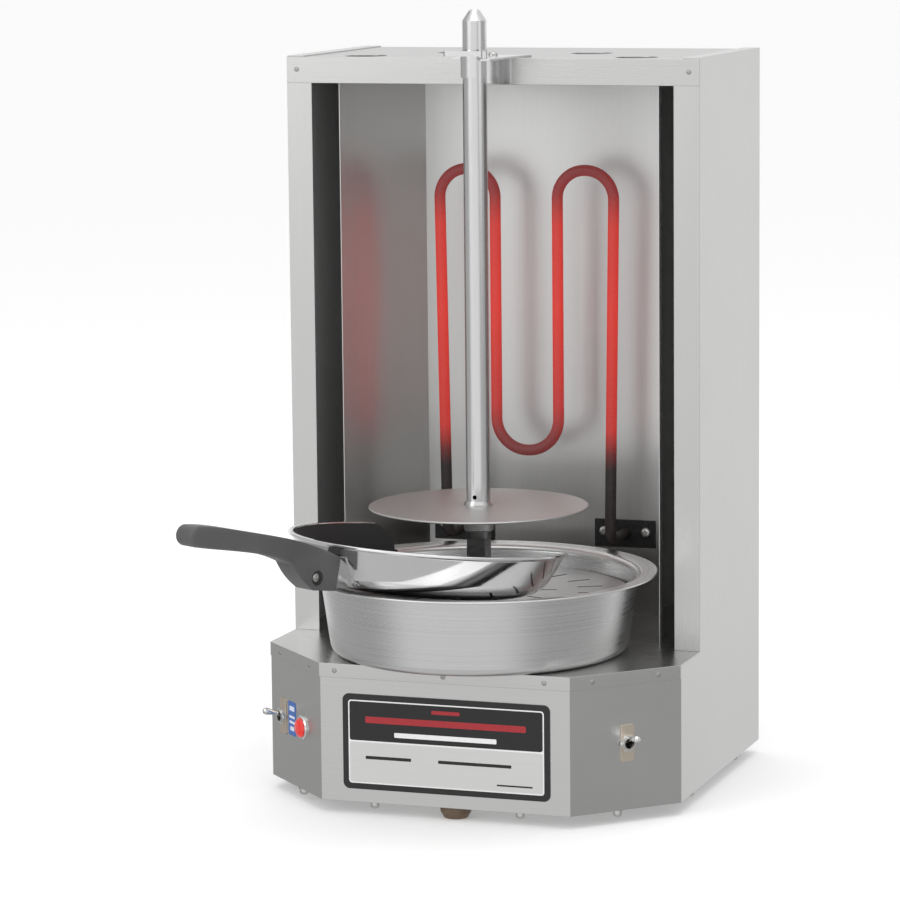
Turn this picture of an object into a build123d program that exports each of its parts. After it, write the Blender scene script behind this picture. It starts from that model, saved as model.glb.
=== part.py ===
from build123d import *
import os
from math import cos, hypot, pi, radians, sin

# Vertical rotisserie broiler: a sheet-steel cabinet with a tubular electric heater, a driven
# upright spit in front of it, a round drip pan on the deck and a scoop-cut pan to catch slices.
# Millimetres, +Z up. The origin is on the spit's axis, on the underside of the base plate.
# The cook stands at -Y.

os.makedirs("parts", exist_ok=True)

# Cabinet
HALF_WIDTH = 200.0
FRONT_Y = 42.0            # plane of the cabinet's two front flanges
BACK_Y = 256.0
TOP_Z = 673.4
DECK_Z = 128.0
SHEET = 1.2
LIP_H = 25.5              # front lip of the top panel
FLANGE_W = 24.5
TOP_RETURN_W = 16.0
VENTS = ((132.0, 72.0), (66.0, 147.0))
VENT_R = 20.0
GLAND_X = -125.0
GLAND_Z = 45.0
GLAND_R = 9.0

# Base, whose two front corners are cut off at 45 degrees
CHAMFER_SIDE_Y = -21.5
NOSE_Y = -103.1
NOSE_HALF_W = 119.5
DECK_LIP_H = 13.0
BOTTOM_T = 1.5
SHAFT_HOLE_R = 17.0

# Reflector liner and heater
LINER_SHEET = 0.8
LINER_FRONT_Y = 62.0
LINER_FRONT_HALF = 156.0
LINER_BACK_Y = 200.0
LINER_BACK_HALF = 119.0
HEATER_Y = 148.0
HEATER_R = 5.3
HEATER_TOP_Z = 562.0
HEATER_U_Z = 293.3
TERMINAL_X = 82.0
TERMINAL_Z = 208.0

# Spit
SPIT_R = 11.1
SPIT_TOP_Z = 718.0
HUB_R = 13.8
HUB_BOTTOM_Z = 239.5
DISC_R = 101.6
DISC_Z = 261.0
DISC_T = 2.0
SQUARE = 18.0             # side of the spit's square drive
SQUARE_TOP_Z = 233.0
SQUARE_BOTTOM_Z = 172.0
CROSS_HOLE_Z = 271.5
HUB_PIN_Z = 250.0
HUB_PIN_R = 2.4
PLUG_TOP_Z = 246.0

# Top bracket and its swinging latch
NOTCH_R = 12.5
BRACKET_T = 2.0
PIN_R = 1.5
LATCH_X = 14.5
LATCH_Y = -15.5
LATCH_TOP_Z = 681.0
TAB_INNER_R = 11.7
TAB_BOTTOM_Z = 656.6

# Drive
SHAFT_R = 8.0
RUNNING_GAP = 0.05
SOCKET_R = 15.5
SOCKET_BOTTOM_Z = 150.0
SOCKET_TOP_Z = 206.0
SOCKET_SCREW_Z = 158.0
GEAR_MODULE = 1.5
GEAR_TEETH = 48
PINION_TEETH = 12
PINION_Y = GEAR_MODULE * (GEAR_TEETH + PINION_TEETH) / 2 + 0.3
GEARBOX_Z = (62.0, 106.0)
GEARBOX_X = 46.0
GEARBOX_Y = (-46.0, 70.0)
MOTOR_R = 26.0

# Drip pan and strainer
PAN_GAP = 0.1             # free height under each loose pan
DRIP_FOOT_R = 138.6
DRIP_WALL_TOP_R = 147.0
DRIP_RIM_R = 165.0
DRIP_RIM_Z = 202.0
DRIP_SHEET = 1.6
COLLAR_R = 18.5
COLLAR_TOP_Z = 165.0
STRAINER_R = 139.5
STRAINER_Z = 183.0
STRAINER_HOLE_R = 24.0

# Catch pan: a frying pan that leans on the drip pan's rim, cut away behind for the spit
CATCH_CENTRE = (-34.5, -38.0, 235.5)
CATCH_NORMAL = (0.0587, 0.0854, 1.0)
CATCH_R = 130.5
CATCH_DEPTH = 44.0
CATCH_FOOT_R = 88.0
CATCH_CORNER_R = 30.0
CATCH_WALL_DEG = 62.4
CATCH_SHEET = 2.4
LINING_T = 0.5
HANDLE_DEG = 245.0        # the handle's direction, seen from above
HANDLE_W = 22.0
HANDLE_SCREW = (152.0, -29.5)
HANDLE_ROOT = 124.5
HANDLE_TIP = 307.5

# Switches, pilot light and plates: distances along a chamfer from its side corner
HEAT_SWITCH_ALONG = 27.8
MOTOR_SWITCH_ALONG = 56.2
SWITCH_Z = 62.0
LEVER_TILT = 17.0
PILOT_ALONG = 72.8
PILOT_Z = 59.3
PILOT_BODY_R = 8.0
BUSHING_R = 6.0
PLATE_T = 1.0

FOOT_H = 12.0
NUT_H = 7.2


def slab(x0, x1, y0, y1, z0, z1):
    """A box between two corners."""
    return Pos((x0 + x1) / 2, (y0 + y1) / 2, (z0 + z1) / 2) * Box(x1 - x0, y1 - y0, z1 - z0)


def rod(radius, z0, z1, x=0.0, y=0.0):
    """An upright solid cylinder."""
    return Pos(x, y, (z0 + z1) / 2) * Cylinder(radius, z1 - z0)


def ring(outer, inner, z0, z1, x=0.0, y=0.0):
    """An upright tube."""
    return rod(outer, z0, z1, x, y) - rod(inner, z0, z1, x, y)


def prism(points, z0, z1):
    """A flat outline in X and Y, extruded upwards."""
    return Pos(0, 0, z0) * extrude(make_face(Polyline(*points, close=True)), z1 - z0)


def turned(points):
    """A closed outline of (radius, height) points turned about the Z axis."""
    return revolve(Plane.XZ * make_face(Polyline(*points, close=True)), Axis.Z)


def group(solids):
    """Separate solids that share one node."""
    return Compound(children=list(solids))


def mirrored(shape):
    """The same piece on the other side of the cabinet."""
    return mirror(shape, Plane.YZ)


def base_outline(inset=0.0):
    """The base's plan, moved in by an inset on every side."""
    cut = inset * 0.414
    side = HALF_WIDTH - inset
    back = BACK_Y - inset
    return [(-side, CHAMFER_SIDE_Y + cut), (-NOSE_HALF_W + cut, NOSE_Y + inset),
            (NOSE_HALF_W - cut, NOSE_Y + inset), (side, CHAMFER_SIDE_Y + cut),
            (side, back), (-side, back)]


def chamfer_plane(side, along, height):
    """A plane on a chamfer's outer face: X along it, Y up, Z outwards. side is 1 or -1."""
    run_x = HALF_WIDTH - NOSE_HALF_W
    run_y = CHAMFER_SIDE_Y - NOSE_Y
    length = hypot(run_x, run_y)
    origin = (side * (HALF_WIDTH - run_x * along / length),
              CHAMFER_SIDE_Y - run_y * along / length, height)
    return Plane(origin=origin, x_dir=(run_x, side * run_y, 0),
                 z_dir=(side * run_y, -run_x, 0))


# ---- Cabinet -------------------------------------------------------------------------------


def side_panel():
    """Right side: one sheet from base to top, with a front flange and a top return."""
    lip_z = TOP_Z - LIP_H
    outline = [(CHAMFER_SIDE_Y, 0), (BACK_Y, 0), (BACK_Y, TOP_Z), (FRONT_Y + SHEET, TOP_Z),
               (FRONT_Y + SHEET, lip_z), (FRONT_Y, lip_z), (FRONT_Y, DECK_Z),
               (FRONT_Y, DECK_Z - SHEET), (CHAMFER_SIDE_Y, DECK_Z - SHEET)]
    sheet = extrude(Plane.YZ * make_face(Polyline(*outline, close=True)), SHEET)
    sheet = Pos(HALF_WIDTH - SHEET, 0, 0) * sheet
    flange = slab(HALF_WIDTH - FLANGE_W, HALF_WIDTH, FRONT_Y, FRONT_Y + SHEET, DECK_Z, lip_z)
    top_return = slab(HALF_WIDTH - TOP_RETURN_W, HALF_WIDTH, FRONT_Y + SHEET, BACK_Y,
                      TOP_Z - SHEET, TOP_Z)
    return sheet + flange + top_return


def back_panel():
    """Back sheet with rows of cooling slots behind the motor and a hole for the cable."""
    inner = HALF_WIDTH - SHEET
    sheet = slab(-inner, inner, BACK_Y - SHEET, BACK_Y, 0, TOP_Z - 2 * SHEET)
    for row in range(4):
        for column in range(5):
            x = (column - 2) * 34.0
            z = 40.0 + row * 14.0
            sheet -= slab(x - 12, x + 12, BACK_Y - 5, BACK_Y + 5, z - 2, z + 2)
    hole = Pos(GLAND_X, BACK_Y, GLAND_Z) * Rot(90, 0, 0) * Cylinder(GLAND_R, 10)
    return sheet - hole


def top_panel():
    """Top sheet with a deep front lip and four round heat vents."""
    inner = HALF_WIDTH - SHEET
    plate_z = TOP_Z - SHEET
    sheet = slab(-inner, inner, FRONT_Y, BACK_Y - SHEET, plate_z - SHEET, plate_z)
    lip = slab(-HALF_WIDTH, HALF_WIDTH, FRONT_Y, FRONT_Y + SHEET, TOP_Z - LIP_H, plate_z)
    panel = sheet + lip
    for x, y in VENTS:
        panel -= rod(VENT_R, plate_z - 10, plate_z + 10, x, y)
        panel -= rod(VENT_R, plate_z - 10, plate_z + 10, -x, y)
    return panel + slab(-inner, inner, BACK_Y - SHEET, BACK_Y, plate_z - SHEET, plate_z)


def deck():
    """Worktop that closes the base, its front edges folded down over the apron."""
    top = prism(base_outline(), DECK_Z - SHEET, DECK_Z)
    inner = HALF_WIDTH - SHEET
    for side in (-1, 1):
        edge = sorted((side * inner, side * (HALF_WIDTH + 1)))
        top -= slab(edge[0], edge[1], FRONT_Y, BACK_Y + 1, DECK_Z - 5, DECK_Z + 1)
    top -= slab(-inner, inner, BACK_Y - SHEET, BACK_Y + 1, DECK_Z - 5, DECK_Z + 1)
    low = DECK_Z - DECK_LIP_H
    lip = prism(base_outline(-SHEET), low, DECK_Z) - prism(base_outline(), low - 1, DECK_Z + 1)
    lip &= slab(-HALF_WIDTH, HALF_WIDTH, NOSE_Y - 10, CHAMFER_SIDE_Y, low, DECK_Z)
    return top + lip - rod(SHAFT_HOLE_R, DECK_Z - 5, DECK_Z + 1)


def front_apron():
    """Front of the base: one sheet bent twice, holed for the switches and pilot light."""
    top = DECK_Z - SHEET
    sheet = prism(base_outline(), 0, top) - prism(base_outline(SHEET), -1, top + 1)
    sheet -= slab(-HALF_WIDTH - 1, HALF_WIDTH + 1, CHAMFER_SIDE_Y, BACK_Y + 1, -1, top + 1)
    for side, along, height, radius in ((-1, HEAT_SWITCH_ALONG, SWITCH_Z, BUSHING_R),
                                        (1, MOTOR_SWITCH_ALONG, SWITCH_Z, BUSHING_R),
                                        (-1, PILOT_ALONG, PILOT_Z, PILOT_BODY_R)):
        sheet -= chamfer_plane(side, along, height) * Cylinder(radius, 10)
    return sheet


def bottom_plate():
    """Flat plate that closes the base from below, with slots for cooling air."""
    plate = prism(base_outline(SHEET + 0.1), 0, BOTTOM_T)
    for row in range(5):
        y = 20.0 + row * 16.0
        plate -= slab(-95, -55, y - 2.5, y + 2.5, -1, BOTTOM_T + 1)
        plate -= slab(55, 95, y - 2.5, y + 2.5, -1, BOTTOM_T + 1)
    return plate


def feet():
    """Four corner feet and one front bumper, all turned rubber of one height."""
    places = [(-110, -8), (110, -8), (-140, 222), (140, 222)]
    solids = [Pos(x, y, 0) * turned([(0, 0), (12, 0), (10, -FOOT_H), (0, -FOOT_H)])
              for x, y in places]
    bumper = [(0, 0), (15, 0), (14.2, -6), (11, -FOOT_H + 0.6), (8, -FOOT_H), (0, -FOOT_H)]
    solids.append(Pos(5, -86, 0) * turned(bumper))
    return group(solids)


def pan_head(radius, height):
    """A domed screw head on the XY plane, with a cross recess."""
    head = turned([(0, 0), (radius, 0), (radius, height * 0.45), (radius * 0.82, height * 0.85),
                   (radius * 0.45, height), (0, height)])
    slot = radius * 1.05
    width = radius * 0.26
    for size in ((slot, width), (width, slot)):
        head -= Pos(0, 0, height) * Box(size[0], size[1], height * 0.8)
    return head


def base_nuts():
    """Domed nuts with a washer face round the edge of the bottom plate."""
    places = [(70, NOSE_Y + 8), (152, -63), (192, 35), (192, 190), (100, BACK_Y - 9)]
    dome = turned([(0, 0), (5.6, 0), (5.6, -1.0), (4.7, -1.2), (4.7, -3.6), (4.0, -5.4),
                   (2.4, -6.7), (0, -NUT_H)])
    return group([Pos(side * x, y, 0) * dome for x, y in places for side in (-1, 1)])


def back_screws():
    """Screws that hold the back sheet."""
    solids = []
    for x in (-186.0, 186.0):
        for z in (60.0, 210.0, 360.0, 510.0, 650.0):
            solids.append(Pos(x, BACK_Y, z) * Rot(-90, 0, 0) * pan_head(3.8, 2.4))
    return group(solids)


def panel_rivets():
    """Low domed rivets in the top lip and in the deck's folded edges."""
    dome = turned([(0, 0), (2.4, 0), (1.7, 0.5), (0, 0.7)])
    solids = []
    for x in (-190.0, 190.0):
        solids.append(Plane(origin=(x, FRONT_Y, TOP_Z - LIP_H / 2), z_dir=(0, -1, 0)) * dome)
    rivet_z = DECK_Z - DECK_LIP_H / 2
    for x in (-105.0, 0.0, 96.0):
        solids.append(Plane(origin=(x, NOSE_Y - SHEET, rivet_z), z_dir=(0, -1, 0)) * dome)
    for side in (-1, 1):
        for along in (24.0, 92.0):
            solids.append(chamfer_plane(side, along, rivet_z) * Pos(0, 0, SHEET + 0.05) * dome)
    return group(solids)


# ---- Liner and heater ----------------------------------------------------------------------


def liner():
    """Bright reflector: a flat back with two flat sides that flare towards the front."""
    outer = [(-LINER_FRONT_HALF, LINER_FRONT_Y), (-LINER_BACK_HALF, LINER_BACK_Y),
             (LINER_BACK_HALF, LINER_BACK_Y), (LINER_FRONT_HALF, LINER_FRONT_Y)]
    slope = (LINER_FRONT_HALF - LINER_BACK_HALF) / (LINER_BACK_Y - LINER_FRONT_Y)
    side_t = LINER_SHEET * hypot(1, slope)
    mouth = LINER_FRONT_HALF - side_t + slope
    back = LINER_BACK_HALF - side_t + slope * LINER_SHEET
    inner = [(-mouth, LINER_FRONT_Y - 1), (-back, LINER_BACK_Y - LINER_SHEET),
             (back, LINER_BACK_Y - LINER_SHEET), (mouth, LINER_FRONT_Y - 1)]
    top = TOP_Z - 2 * SHEET
    shell = prism(outer, DECK_Z, top) - prism(inner, DECK_Z - 1, top + 1)
    for x in (-TERMINAL_X, TERMINAL_X):
        shell -= Pos(x, LINER_BACK_Y, TERMINAL_Z) * Rot(90, 0, 0) * Cylinder(HEATER_R, 10)
    return shell


def insulation_blanket():
    """Mineral-fibre batt held between the liner and the back sheet."""
    batt = slab(-60, 60, LINER_BACK_Y + 3, LINER_BACK_Y + 33, 150, 650)
    return fillet(batt.edges().filter_by(Axis.Z), 10)


def heater_path():
    """Centre line of the heater: in through the liner, up, over, down and back again."""
    outer_top = TERMINAL_X + 5.0
    inner = 31.0
    half = [(TERMINAL_X, LINER_BACK_Y + 22, TERMINAL_Z), (TERMINAL_X, HEATER_Y, TERMINAL_Z),
            (outer_top, HEATER_Y, HEATER_TOP_Z), (inner, HEATER_Y, HEATER_TOP_Z),
            (inner, HEATER_Y, HEATER_U_Z)]
    other = [(-x, y, z) for x, y, z in reversed(half)]
    bends = [14.0, 27.5, 27.0, 30.5]
    return FilletPolyline(*half, *other, radius=bends + bends[::-1])


def heater_element():
    """One metal-sheathed tubular heater bent into an M."""
    path = heater_path()
    return sweep(Plane(origin=path @ 0, z_dir=path % 0) * Circle(HEATER_R), path=path)


def terminal_plates():
    """Two black plates that clamp the heater's ends to the liner."""
    face_y = LINER_BACK_Y - LINER_SHEET
    solids = []
    for x in (-TERMINAL_X, TERMINAL_X):
        plate = slab(x - 30.5, x + 30.5, face_y - 2, face_y, TERMINAL_Z - 13.5, TERMINAL_Z + 13.5)
        plate -= Pos(x, face_y, TERMINAL_Z) * Rot(90, 0, 0) * Cylinder(HEATER_R + 0.1, 10)
        solids.append(plate)
    return group(solids)


def terminal_screws():
    """Pan-head screws, two in each terminal plate."""
    face_y = LINER_BACK_Y - LINER_SHEET - 2
    solids = []
    for x in (-TERMINAL_X, TERMINAL_X):
        for offset in (-21.0, 21.0):
            plane = Plane(origin=(x + offset, face_y, TERMINAL_Z + 2), z_dir=(0, -1, 0))
            solids.append(plane * pan_head(4.6, 3.4))
    return group(solids)


def element_insulators():
    """Ceramic collars round the heater's cold ends, behind the liner."""
    solids = []
    for x in (-TERMINAL_X, TERMINAL_X):
        collar = Cylinder(9.5, 14) - Cylinder(HEATER_R + 0.1, 20)
        solids.append(Pos(x, LINER_BACK_Y + 7, TERMINAL_Z) * Rot(90, 0, 0) * collar)
    return group(solids)


def element_studs():
    """Threaded studs with nuts that end the heater."""
    solids = []
    for x in (-TERMINAL_X, TERMINAL_X):
        start = LINER_BACK_Y + 22
        stud = Pos(x, start + 8, TERMINAL_Z) * Rot(90, 0, 0) * Cylinder(2.2, 16)
        nut = extrude(RegularPolygon(4.2, 6), 3.2) - Pos(0, 0, 1.6) * Cylinder(2.0, 4)
        stud += Plane(origin=(x, start + 4, TERMINAL_Z), z_dir=(0, 1, 0)) * nut
        solids.append(stud)
    return group(solids)


# ---- Spit and its top bracket --------------------------------------------------------------


def spit_tube():
    """Long tube with a closed cone at its tip and a small cross hole near its foot."""
    wall = 1.5
    bore = SPIT_R - wall
    outline = [(bore, HUB_BOTTOM_Z), (SPIT_R, HUB_BOTTOM_Z), (SPIT_R, SPIT_TOP_Z - 10),
               (5.2, SPIT_TOP_Z - 1.2), (3.6, SPIT_TOP_Z), (0, SPIT_TOP_Z),
               (0, SPIT_TOP_Z - 14), (bore, SPIT_TOP_Z - 14)]
    hole = Pos(0, 0, CROSS_HOLE_Z) * Rot(90, 0, 0) * Cylinder(2.0, 40)
    pin = Pos(0, 0, HUB_PIN_Z) * Rot(0, 90, 0) * Cylinder(HUB_PIN_R, 40)
    return turned(outline) - hole - pin


def spit_collar():
    """Small flared collar that stands on the disc."""
    top = DISC_Z + DISC_T
    return turned([(SPIT_R, top), (13.5, top), (13.5, top + 1.4), (11.9, top + 4.5),
                   (SPIT_R, top + 4.5)])


def meat_disc():
    """Round plate that carries the meat, with a softened edge."""
    top = DISC_Z + DISC_T
    return turned([(SPIT_R, DISC_Z), (DISC_R - 1.2, DISC_Z), (DISC_R, DISC_Z + 0.7),
                   (DISC_R, top - 0.6), (DISC_R - 0.8, top), (SPIT_R, top)])


def disc_hub():
    """Hub pinned to the spit under the disc."""
    hub = ring(HUB_R, SPIT_R, HUB_BOTTOM_Z, DISC_Z)
    hub = chamfer(hub.edges().filter_by(GeomType.CIRCLE).group_by(Axis.Z)[0].sort_by(
        SortBy.RADIUS)[-1], 1.0)
    return hub - Pos(0, 0, HUB_PIN_Z) * Rot(0, 90, 0) * Cylinder(HUB_PIN_R, 40)


def hub_pin():
    """Roll pin through the hub and the tube."""
    return Pos(0, 0, HUB_PIN_Z) * Rot(0, 90, 0) * Cylinder(HUB_PIN_R, 2 * HUB_R - 0.6)


def square_drive():
    """Square shank under the hub that drops into the drive socket."""
    neck = rod(11.6, SQUARE_TOP_Z, HUB_BOTTOM_Z) + rod(SPIT_R - 1.55, HUB_BOTTOM_Z, PLUG_TOP_Z)
    shank = extrude(RectangleRounded(SQUARE, SQUARE, 1.2), SQUARE_TOP_Z - SQUARE_BOTTOM_Z)
    shank = Pos(0, 0, SQUARE_BOTTOM_Z) * shank
    shank = chamfer(shank.faces().sort_by(Axis.Z)[0].edges(), 1.0)
    return neck + shank


def spit_bracket():
    """Plate on the cabinet's top that reaches forward round the spit, with a rear leg."""
    top = TOP_Z - SHEET
    outline = [(-34, 63), (34, 63), (24, 36), (21.5, -21), (NOTCH_R, -21), (NOTCH_R, 0),
               (-NOTCH_R, 0), (-NOTCH_R, -4), (-21, -4), (-24, 36)]
    plate = prism(outline, top, top + BRACKET_T) - rod(NOTCH_R, top - 1, top + BRACKET_T + 1)
    leg = slab(-21, 21, FRONT_Y - 2, FRONT_Y, TOP_Z - LIP_H + 1, top)
    plate -= rod(PIN_R, top - 1, top + BRACKET_T + 1, LATCH_X, LATCH_Y)
    return plate + leg


def bracket_screw():
    """Screw that holds the bracket to the top."""
    return Pos(0, 53, TOP_Z - SHEET + BRACKET_T) * pan_head(4.4, 3.2)


def latch_pin():
    """Upright hinge pin with a flat head, fixed in the bracket's right arm."""
    foot = TOP_Z - SHEET
    pin = rod(PIN_R, foot, LATCH_TOP_Z + 0.3, LATCH_X, LATCH_Y)
    return pin + rod(2.7, LATCH_TOP_Z + 0.3, LATCH_TOP_Z + 1.2, LATCH_X, LATCH_Y)


def spit_latch():
    """Swinging keeper: hinge barrel, flat bar with a curled end, and a curved tab."""
    low = TOP_Z - SHEET + BRACKET_T + 0.4
    barrel = ring(2.9, PIN_R + RUNNING_GAP, low, LATCH_TOP_Z, LATCH_X, LATCH_Y)
    bar_y = LATCH_Y - 1.6
    bar = slab(LATCH_X - 36, LATCH_X - 2.3, bar_y - 0.9, bar_y + 0.9, LATCH_TOP_Z - 4.8,
               LATCH_TOP_Z)
    curl = ring(3.2, 1.6, LATCH_TOP_Z - 4.8, LATCH_TOP_Z, LATCH_X - 36, bar_y + 2.3)
    curl -= slab(LATCH_X - 36, LATCH_X - 30, bar_y + 0.9, bar_y + 6, low - 5, LATCH_TOP_Z + 1)
    outer = TAB_INNER_R + 1.3
    sleeve = ring(outer, TAB_INNER_R, TAB_BOTTOM_Z, LATCH_TOP_Z)
    sector = [(0, 0)] + [(40 * cos(radians(a)), 40 * sin(radians(a)))
                         for a in (202, 225, 250, 275, 292)]
    tab = sleeve & prism(sector, TAB_BOTTOM_Z - 1, LATCH_TOP_Z + 1)
    bridge = slab(-7, 4, bar_y, -outer + 2.5, LATCH_TOP_Z - 4.8, LATCH_TOP_Z)
    bridge -= rod(outer - 0.4, low - 10, LATCH_TOP_Z + 1)
    return barrel + bar + curl + tab + bridge


# ---- Drive ---------------------------------------------------------------------------------


def gear(teeth, width, bore, phase=0.0):
    """A spur gear with straight-sided teeth and some backlash, standing on the XY plane."""
    pitch = GEAR_MODULE * teeth / 2
    root = pitch - 1.25 * GEAR_MODULE
    tip = pitch + 0.9 * GEAR_MODULE
    root_half = 0.60 * pi / 2 / teeth * 1.5
    tip_half = 0.60 * pi / 2 / teeth * 0.55
    points = []
    for tooth in range(teeth):
        middle = 2 * pi * (tooth + phase) / teeth
        for radius, turn in ((root, -root_half), (tip, -tip_half), (tip, tip_half),
                             (root, root_half)):
            points.append((radius * cos(middle + turn), radius * sin(middle + turn)))
    return prism(points, 0, width) - rod(bore, -1, width + 1)


def drive_gear():
    """Large gear keyed to the output shaft. A tooth points at the pinion."""
    return Pos(0, 0, 78) * Rot(0, 0, 90) * gear(GEAR_TEETH, 14, SHAFT_R)


def motor_pinion():
    """Motor shaft with its pinion. A tooth space points at the large gear."""
    shaft = rod(4.0, GEARBOX_Z[0] - 20, 100, 0, PINION_Y)
    teeth = Rot(0, 0, -90) * gear(PINION_TEETH, 18, 3.9, phase=0.5)
    return shaft + Pos(0, PINION_Y, 76) * teeth


def output_shaft():
    """Upright shaft from the gearbox to the drive socket."""
    return rod(SHAFT_R, GEARBOX_Z[0] + 4.3, SQUARE_BOTTOM_Z - 6)


def drive_socket():
    """Round socket on the shaft's top, with a square hole for the spit."""
    body = rod(SOCKET_R, SOCKET_BOTTOM_Z, SOCKET_TOP_Z)
    half = SQUARE / 2 + 0.3
    body -= slab(-half, half, -half, half, SQUARE_BOTTOM_Z - 3, SOCKET_TOP_Z + 1)
    body -= rod(SHAFT_R, SOCKET_BOTTOM_Z - 1, SQUARE_BOTTOM_Z - 2)
    body -= Pos(0, -SOCKET_R, SOCKET_SCREW_Z) * Rot(90, 0, 0) * Cylinder(2.5, 16)
    return chamfer(body.faces().sort_by(Axis.Z)[-1].edges().filter_by(GeomType.CIRCLE), 1.2)


def socket_screw():
    """Grub screw that locks the socket to the shaft."""
    screw = Cylinder(2.5, 5.5) - Pos(0, 0, 2) * extrude(RegularPolygon(1.3, 6), 3)
    return Plane(origin=(0, -SOCKET_R + 4.6, SOCKET_SCREW_Z), z_dir=(0, -1, 0)) * screw


def gearbox_housing():
    """Cast gear case, open at the top, with a bearing for each shaft."""
    low, high = GEARBOX_Z
    case = slab(-GEARBOX_X, GEARBOX_X, GEARBOX_Y[0], GEARBOX_Y[1], low, high)
    case = fillet(case.edges().filter_by(Axis.Z), 10)
    case -= slab(-GEARBOX_X + 4, GEARBOX_X - 4, GEARBOX_Y[0] + 4, GEARBOX_Y[1] - 4, low + 4,
                 high + 1)
    case += ring(13, SHAFT_R + RUNNING_GAP, low + 4, low + 12)
    return case - rod(4.0 + RUNNING_GAP, low - 1, low + 5, 0, PINION_Y)


def gearbox_cover():
    """Flat lid of the gear case, holed for the bush."""
    low = GEARBOX_Z[1]
    lid = slab(-GEARBOX_X, GEARBOX_X, GEARBOX_Y[0], GEARBOX_Y[1], low, low + 3)
    lid = fillet(lid.edges().filter_by(Axis.Z), 10)
    return lid - rod(12, low - 1, low + 4)


def shaft_bush():
    """Bronze bush in the lid, in which the output shaft turns."""
    low = GEARBOX_Z[1]
    bush = ring(12, SHAFT_R + RUNNING_GAP, low - 4, low + 3)
    return bush + ring(14.5, SHAFT_R + RUNNING_GAP, low + 3, low + 6)


def gearbox_posts():
    """Four posts that hang the gear case from the deck."""
    low = GEARBOX_Z[1] + 3
    return group([rod(5, low, DECK_Z - SHEET, x, y) for x in (-38, 38) for y in (-38, 62)])


def motor_can():
    """Drive motor hung under the gear case."""
    can = rod(MOTOR_R, 6, GEARBOX_Z[0], 0, PINION_Y + 4)
    can = chamfer(can.edges().filter_by(GeomType.CIRCLE).group_by(Axis.Z)[0], 3)
    return can - rod(5, GEARBOX_Z[0] - 24, GEARBOX_Z[0] + 1, 0, PINION_Y)


# ---- Pans ----------------------------------------------------------------------------------


def drip_pan():
    """Spun pan with a drawn centre tube, a tapering wall and a wide flared rim."""
    t = DRIP_SHEET
    z0 = DECK_Z + PAN_GAP
    outer = [(COLLAR_R, z0), (DRIP_FOOT_R - 8, z0), (DRIP_FOOT_R - 3.2, z0 + 1.3),
             (DRIP_FOOT_R - 0.8, z0 + 4.5), (DRIP_FOOT_R, z0 + 9),
             (DRIP_WALL_TOP_R, DRIP_RIM_Z - 5), (DRIP_WALL_TOP_R + 3, DRIP_RIM_Z - 2.6),
             (DRIP_RIM_R - 1, DRIP_RIM_Z - 1.6), (DRIP_RIM_R, DRIP_RIM_Z - 0.7),
             (DRIP_RIM_R - 0.8, DRIP_RIM_Z)]
    inner = [(DRIP_WALL_TOP_R + 3, DRIP_RIM_Z - 1), (DRIP_WALL_TOP_R - 0.6, DRIP_RIM_Z - 3.4),
             (DRIP_WALL_TOP_R - t, DRIP_RIM_Z - 6), (DRIP_FOOT_R - t, z0 + 10),
             (DRIP_FOOT_R - t - 2.2, z0 + 5), (DRIP_FOOT_R - 9, z0 + t),
             (COLLAR_R + t, z0 + t), (COLLAR_R + t, COLLAR_TOP_Z), (COLLAR_R, COLLAR_TOP_Z)]
    return turned(outer + inner)


def strainer_plate():
    """Slotted false floor of the drip pan, with a skirt that stands on the pan's floor."""
    t = 1.2
    foot = DECK_Z + PAN_GAP + DRIP_SHEET + PAN_GAP
    shape = turned([(STRAINER_HOLE_R, STRAINER_Z - t), (STRAINER_R - 9, STRAINER_Z - t),
                    (STRAINER_R - 14, foot), (STRAINER_R - 12.8, foot),
                    (STRAINER_R - 8, STRAINER_Z - t), (STRAINER_R, STRAINER_Z - t),
                    (STRAINER_R, STRAINER_Z), (STRAINER_HOLE_R, STRAINER_Z)])
    for radius, count, length in ((62.0, 10, 20.0), (104.0, 20, 24.0)):
        for index in range(count):
            slot = SlotOverall(length, 3.2)
            cutter = Pos(radius, 0, STRAINER_Z - 5) * extrude(slot, 10)
            shape -= Rot(0, 0, 360.0 / count * (index + 0.5)) * cutter
    return shape


def catch_frame():
    """The catch pan's own frame: its rim plane, tilted so that the handle is up."""
    x_dir = (1, 0, -CATCH_NORMAL[0])
    return Plane(origin=CATCH_CENTRE, x_dir=x_dir, z_dir=CATCH_NORMAL)


def catch_wall(inset):
    """Outer (inset 0) or inner wall of the pan as (radius, height) points, foot to rim."""
    points = [(0, -CATCH_DEPTH + inset)]
    for step in range(9):
        angle = radians(CATCH_WALL_DEG * step / 8)
        reach = CATCH_CORNER_R - inset
        points.append((CATCH_FOOT_R + reach * sin(angle),
                       CATCH_CORNER_R - CATCH_DEPTH - reach * cos(angle)))
    rise = -4.0 - points[-1][1]
    run = rise * cos(radians(CATCH_WALL_DEG)) / sin(radians(CATCH_WALL_DEG))
    points.append((points[-1][0] + run, -4.0))
    return points


def catch_shell(outer_inset, inner_inset, rim):
    """A turned shell between two insets of the pan's wall."""
    outer = catch_wall(outer_inset)
    inner = catch_wall(inner_inset)
    lip_r = inner[-1][0] + 1.8
    if rim:
        bead = [(CATCH_R - 0.9, -2.6), (CATCH_R, -1.4), (CATCH_R - 0.5, 0), (lip_r, 0)]
    else:
        bead = [(lip_r + 0.1, -0.9), (lip_r - 0.4, -0.7)]
    return turned(outer + bead + inner[::-1])


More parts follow.
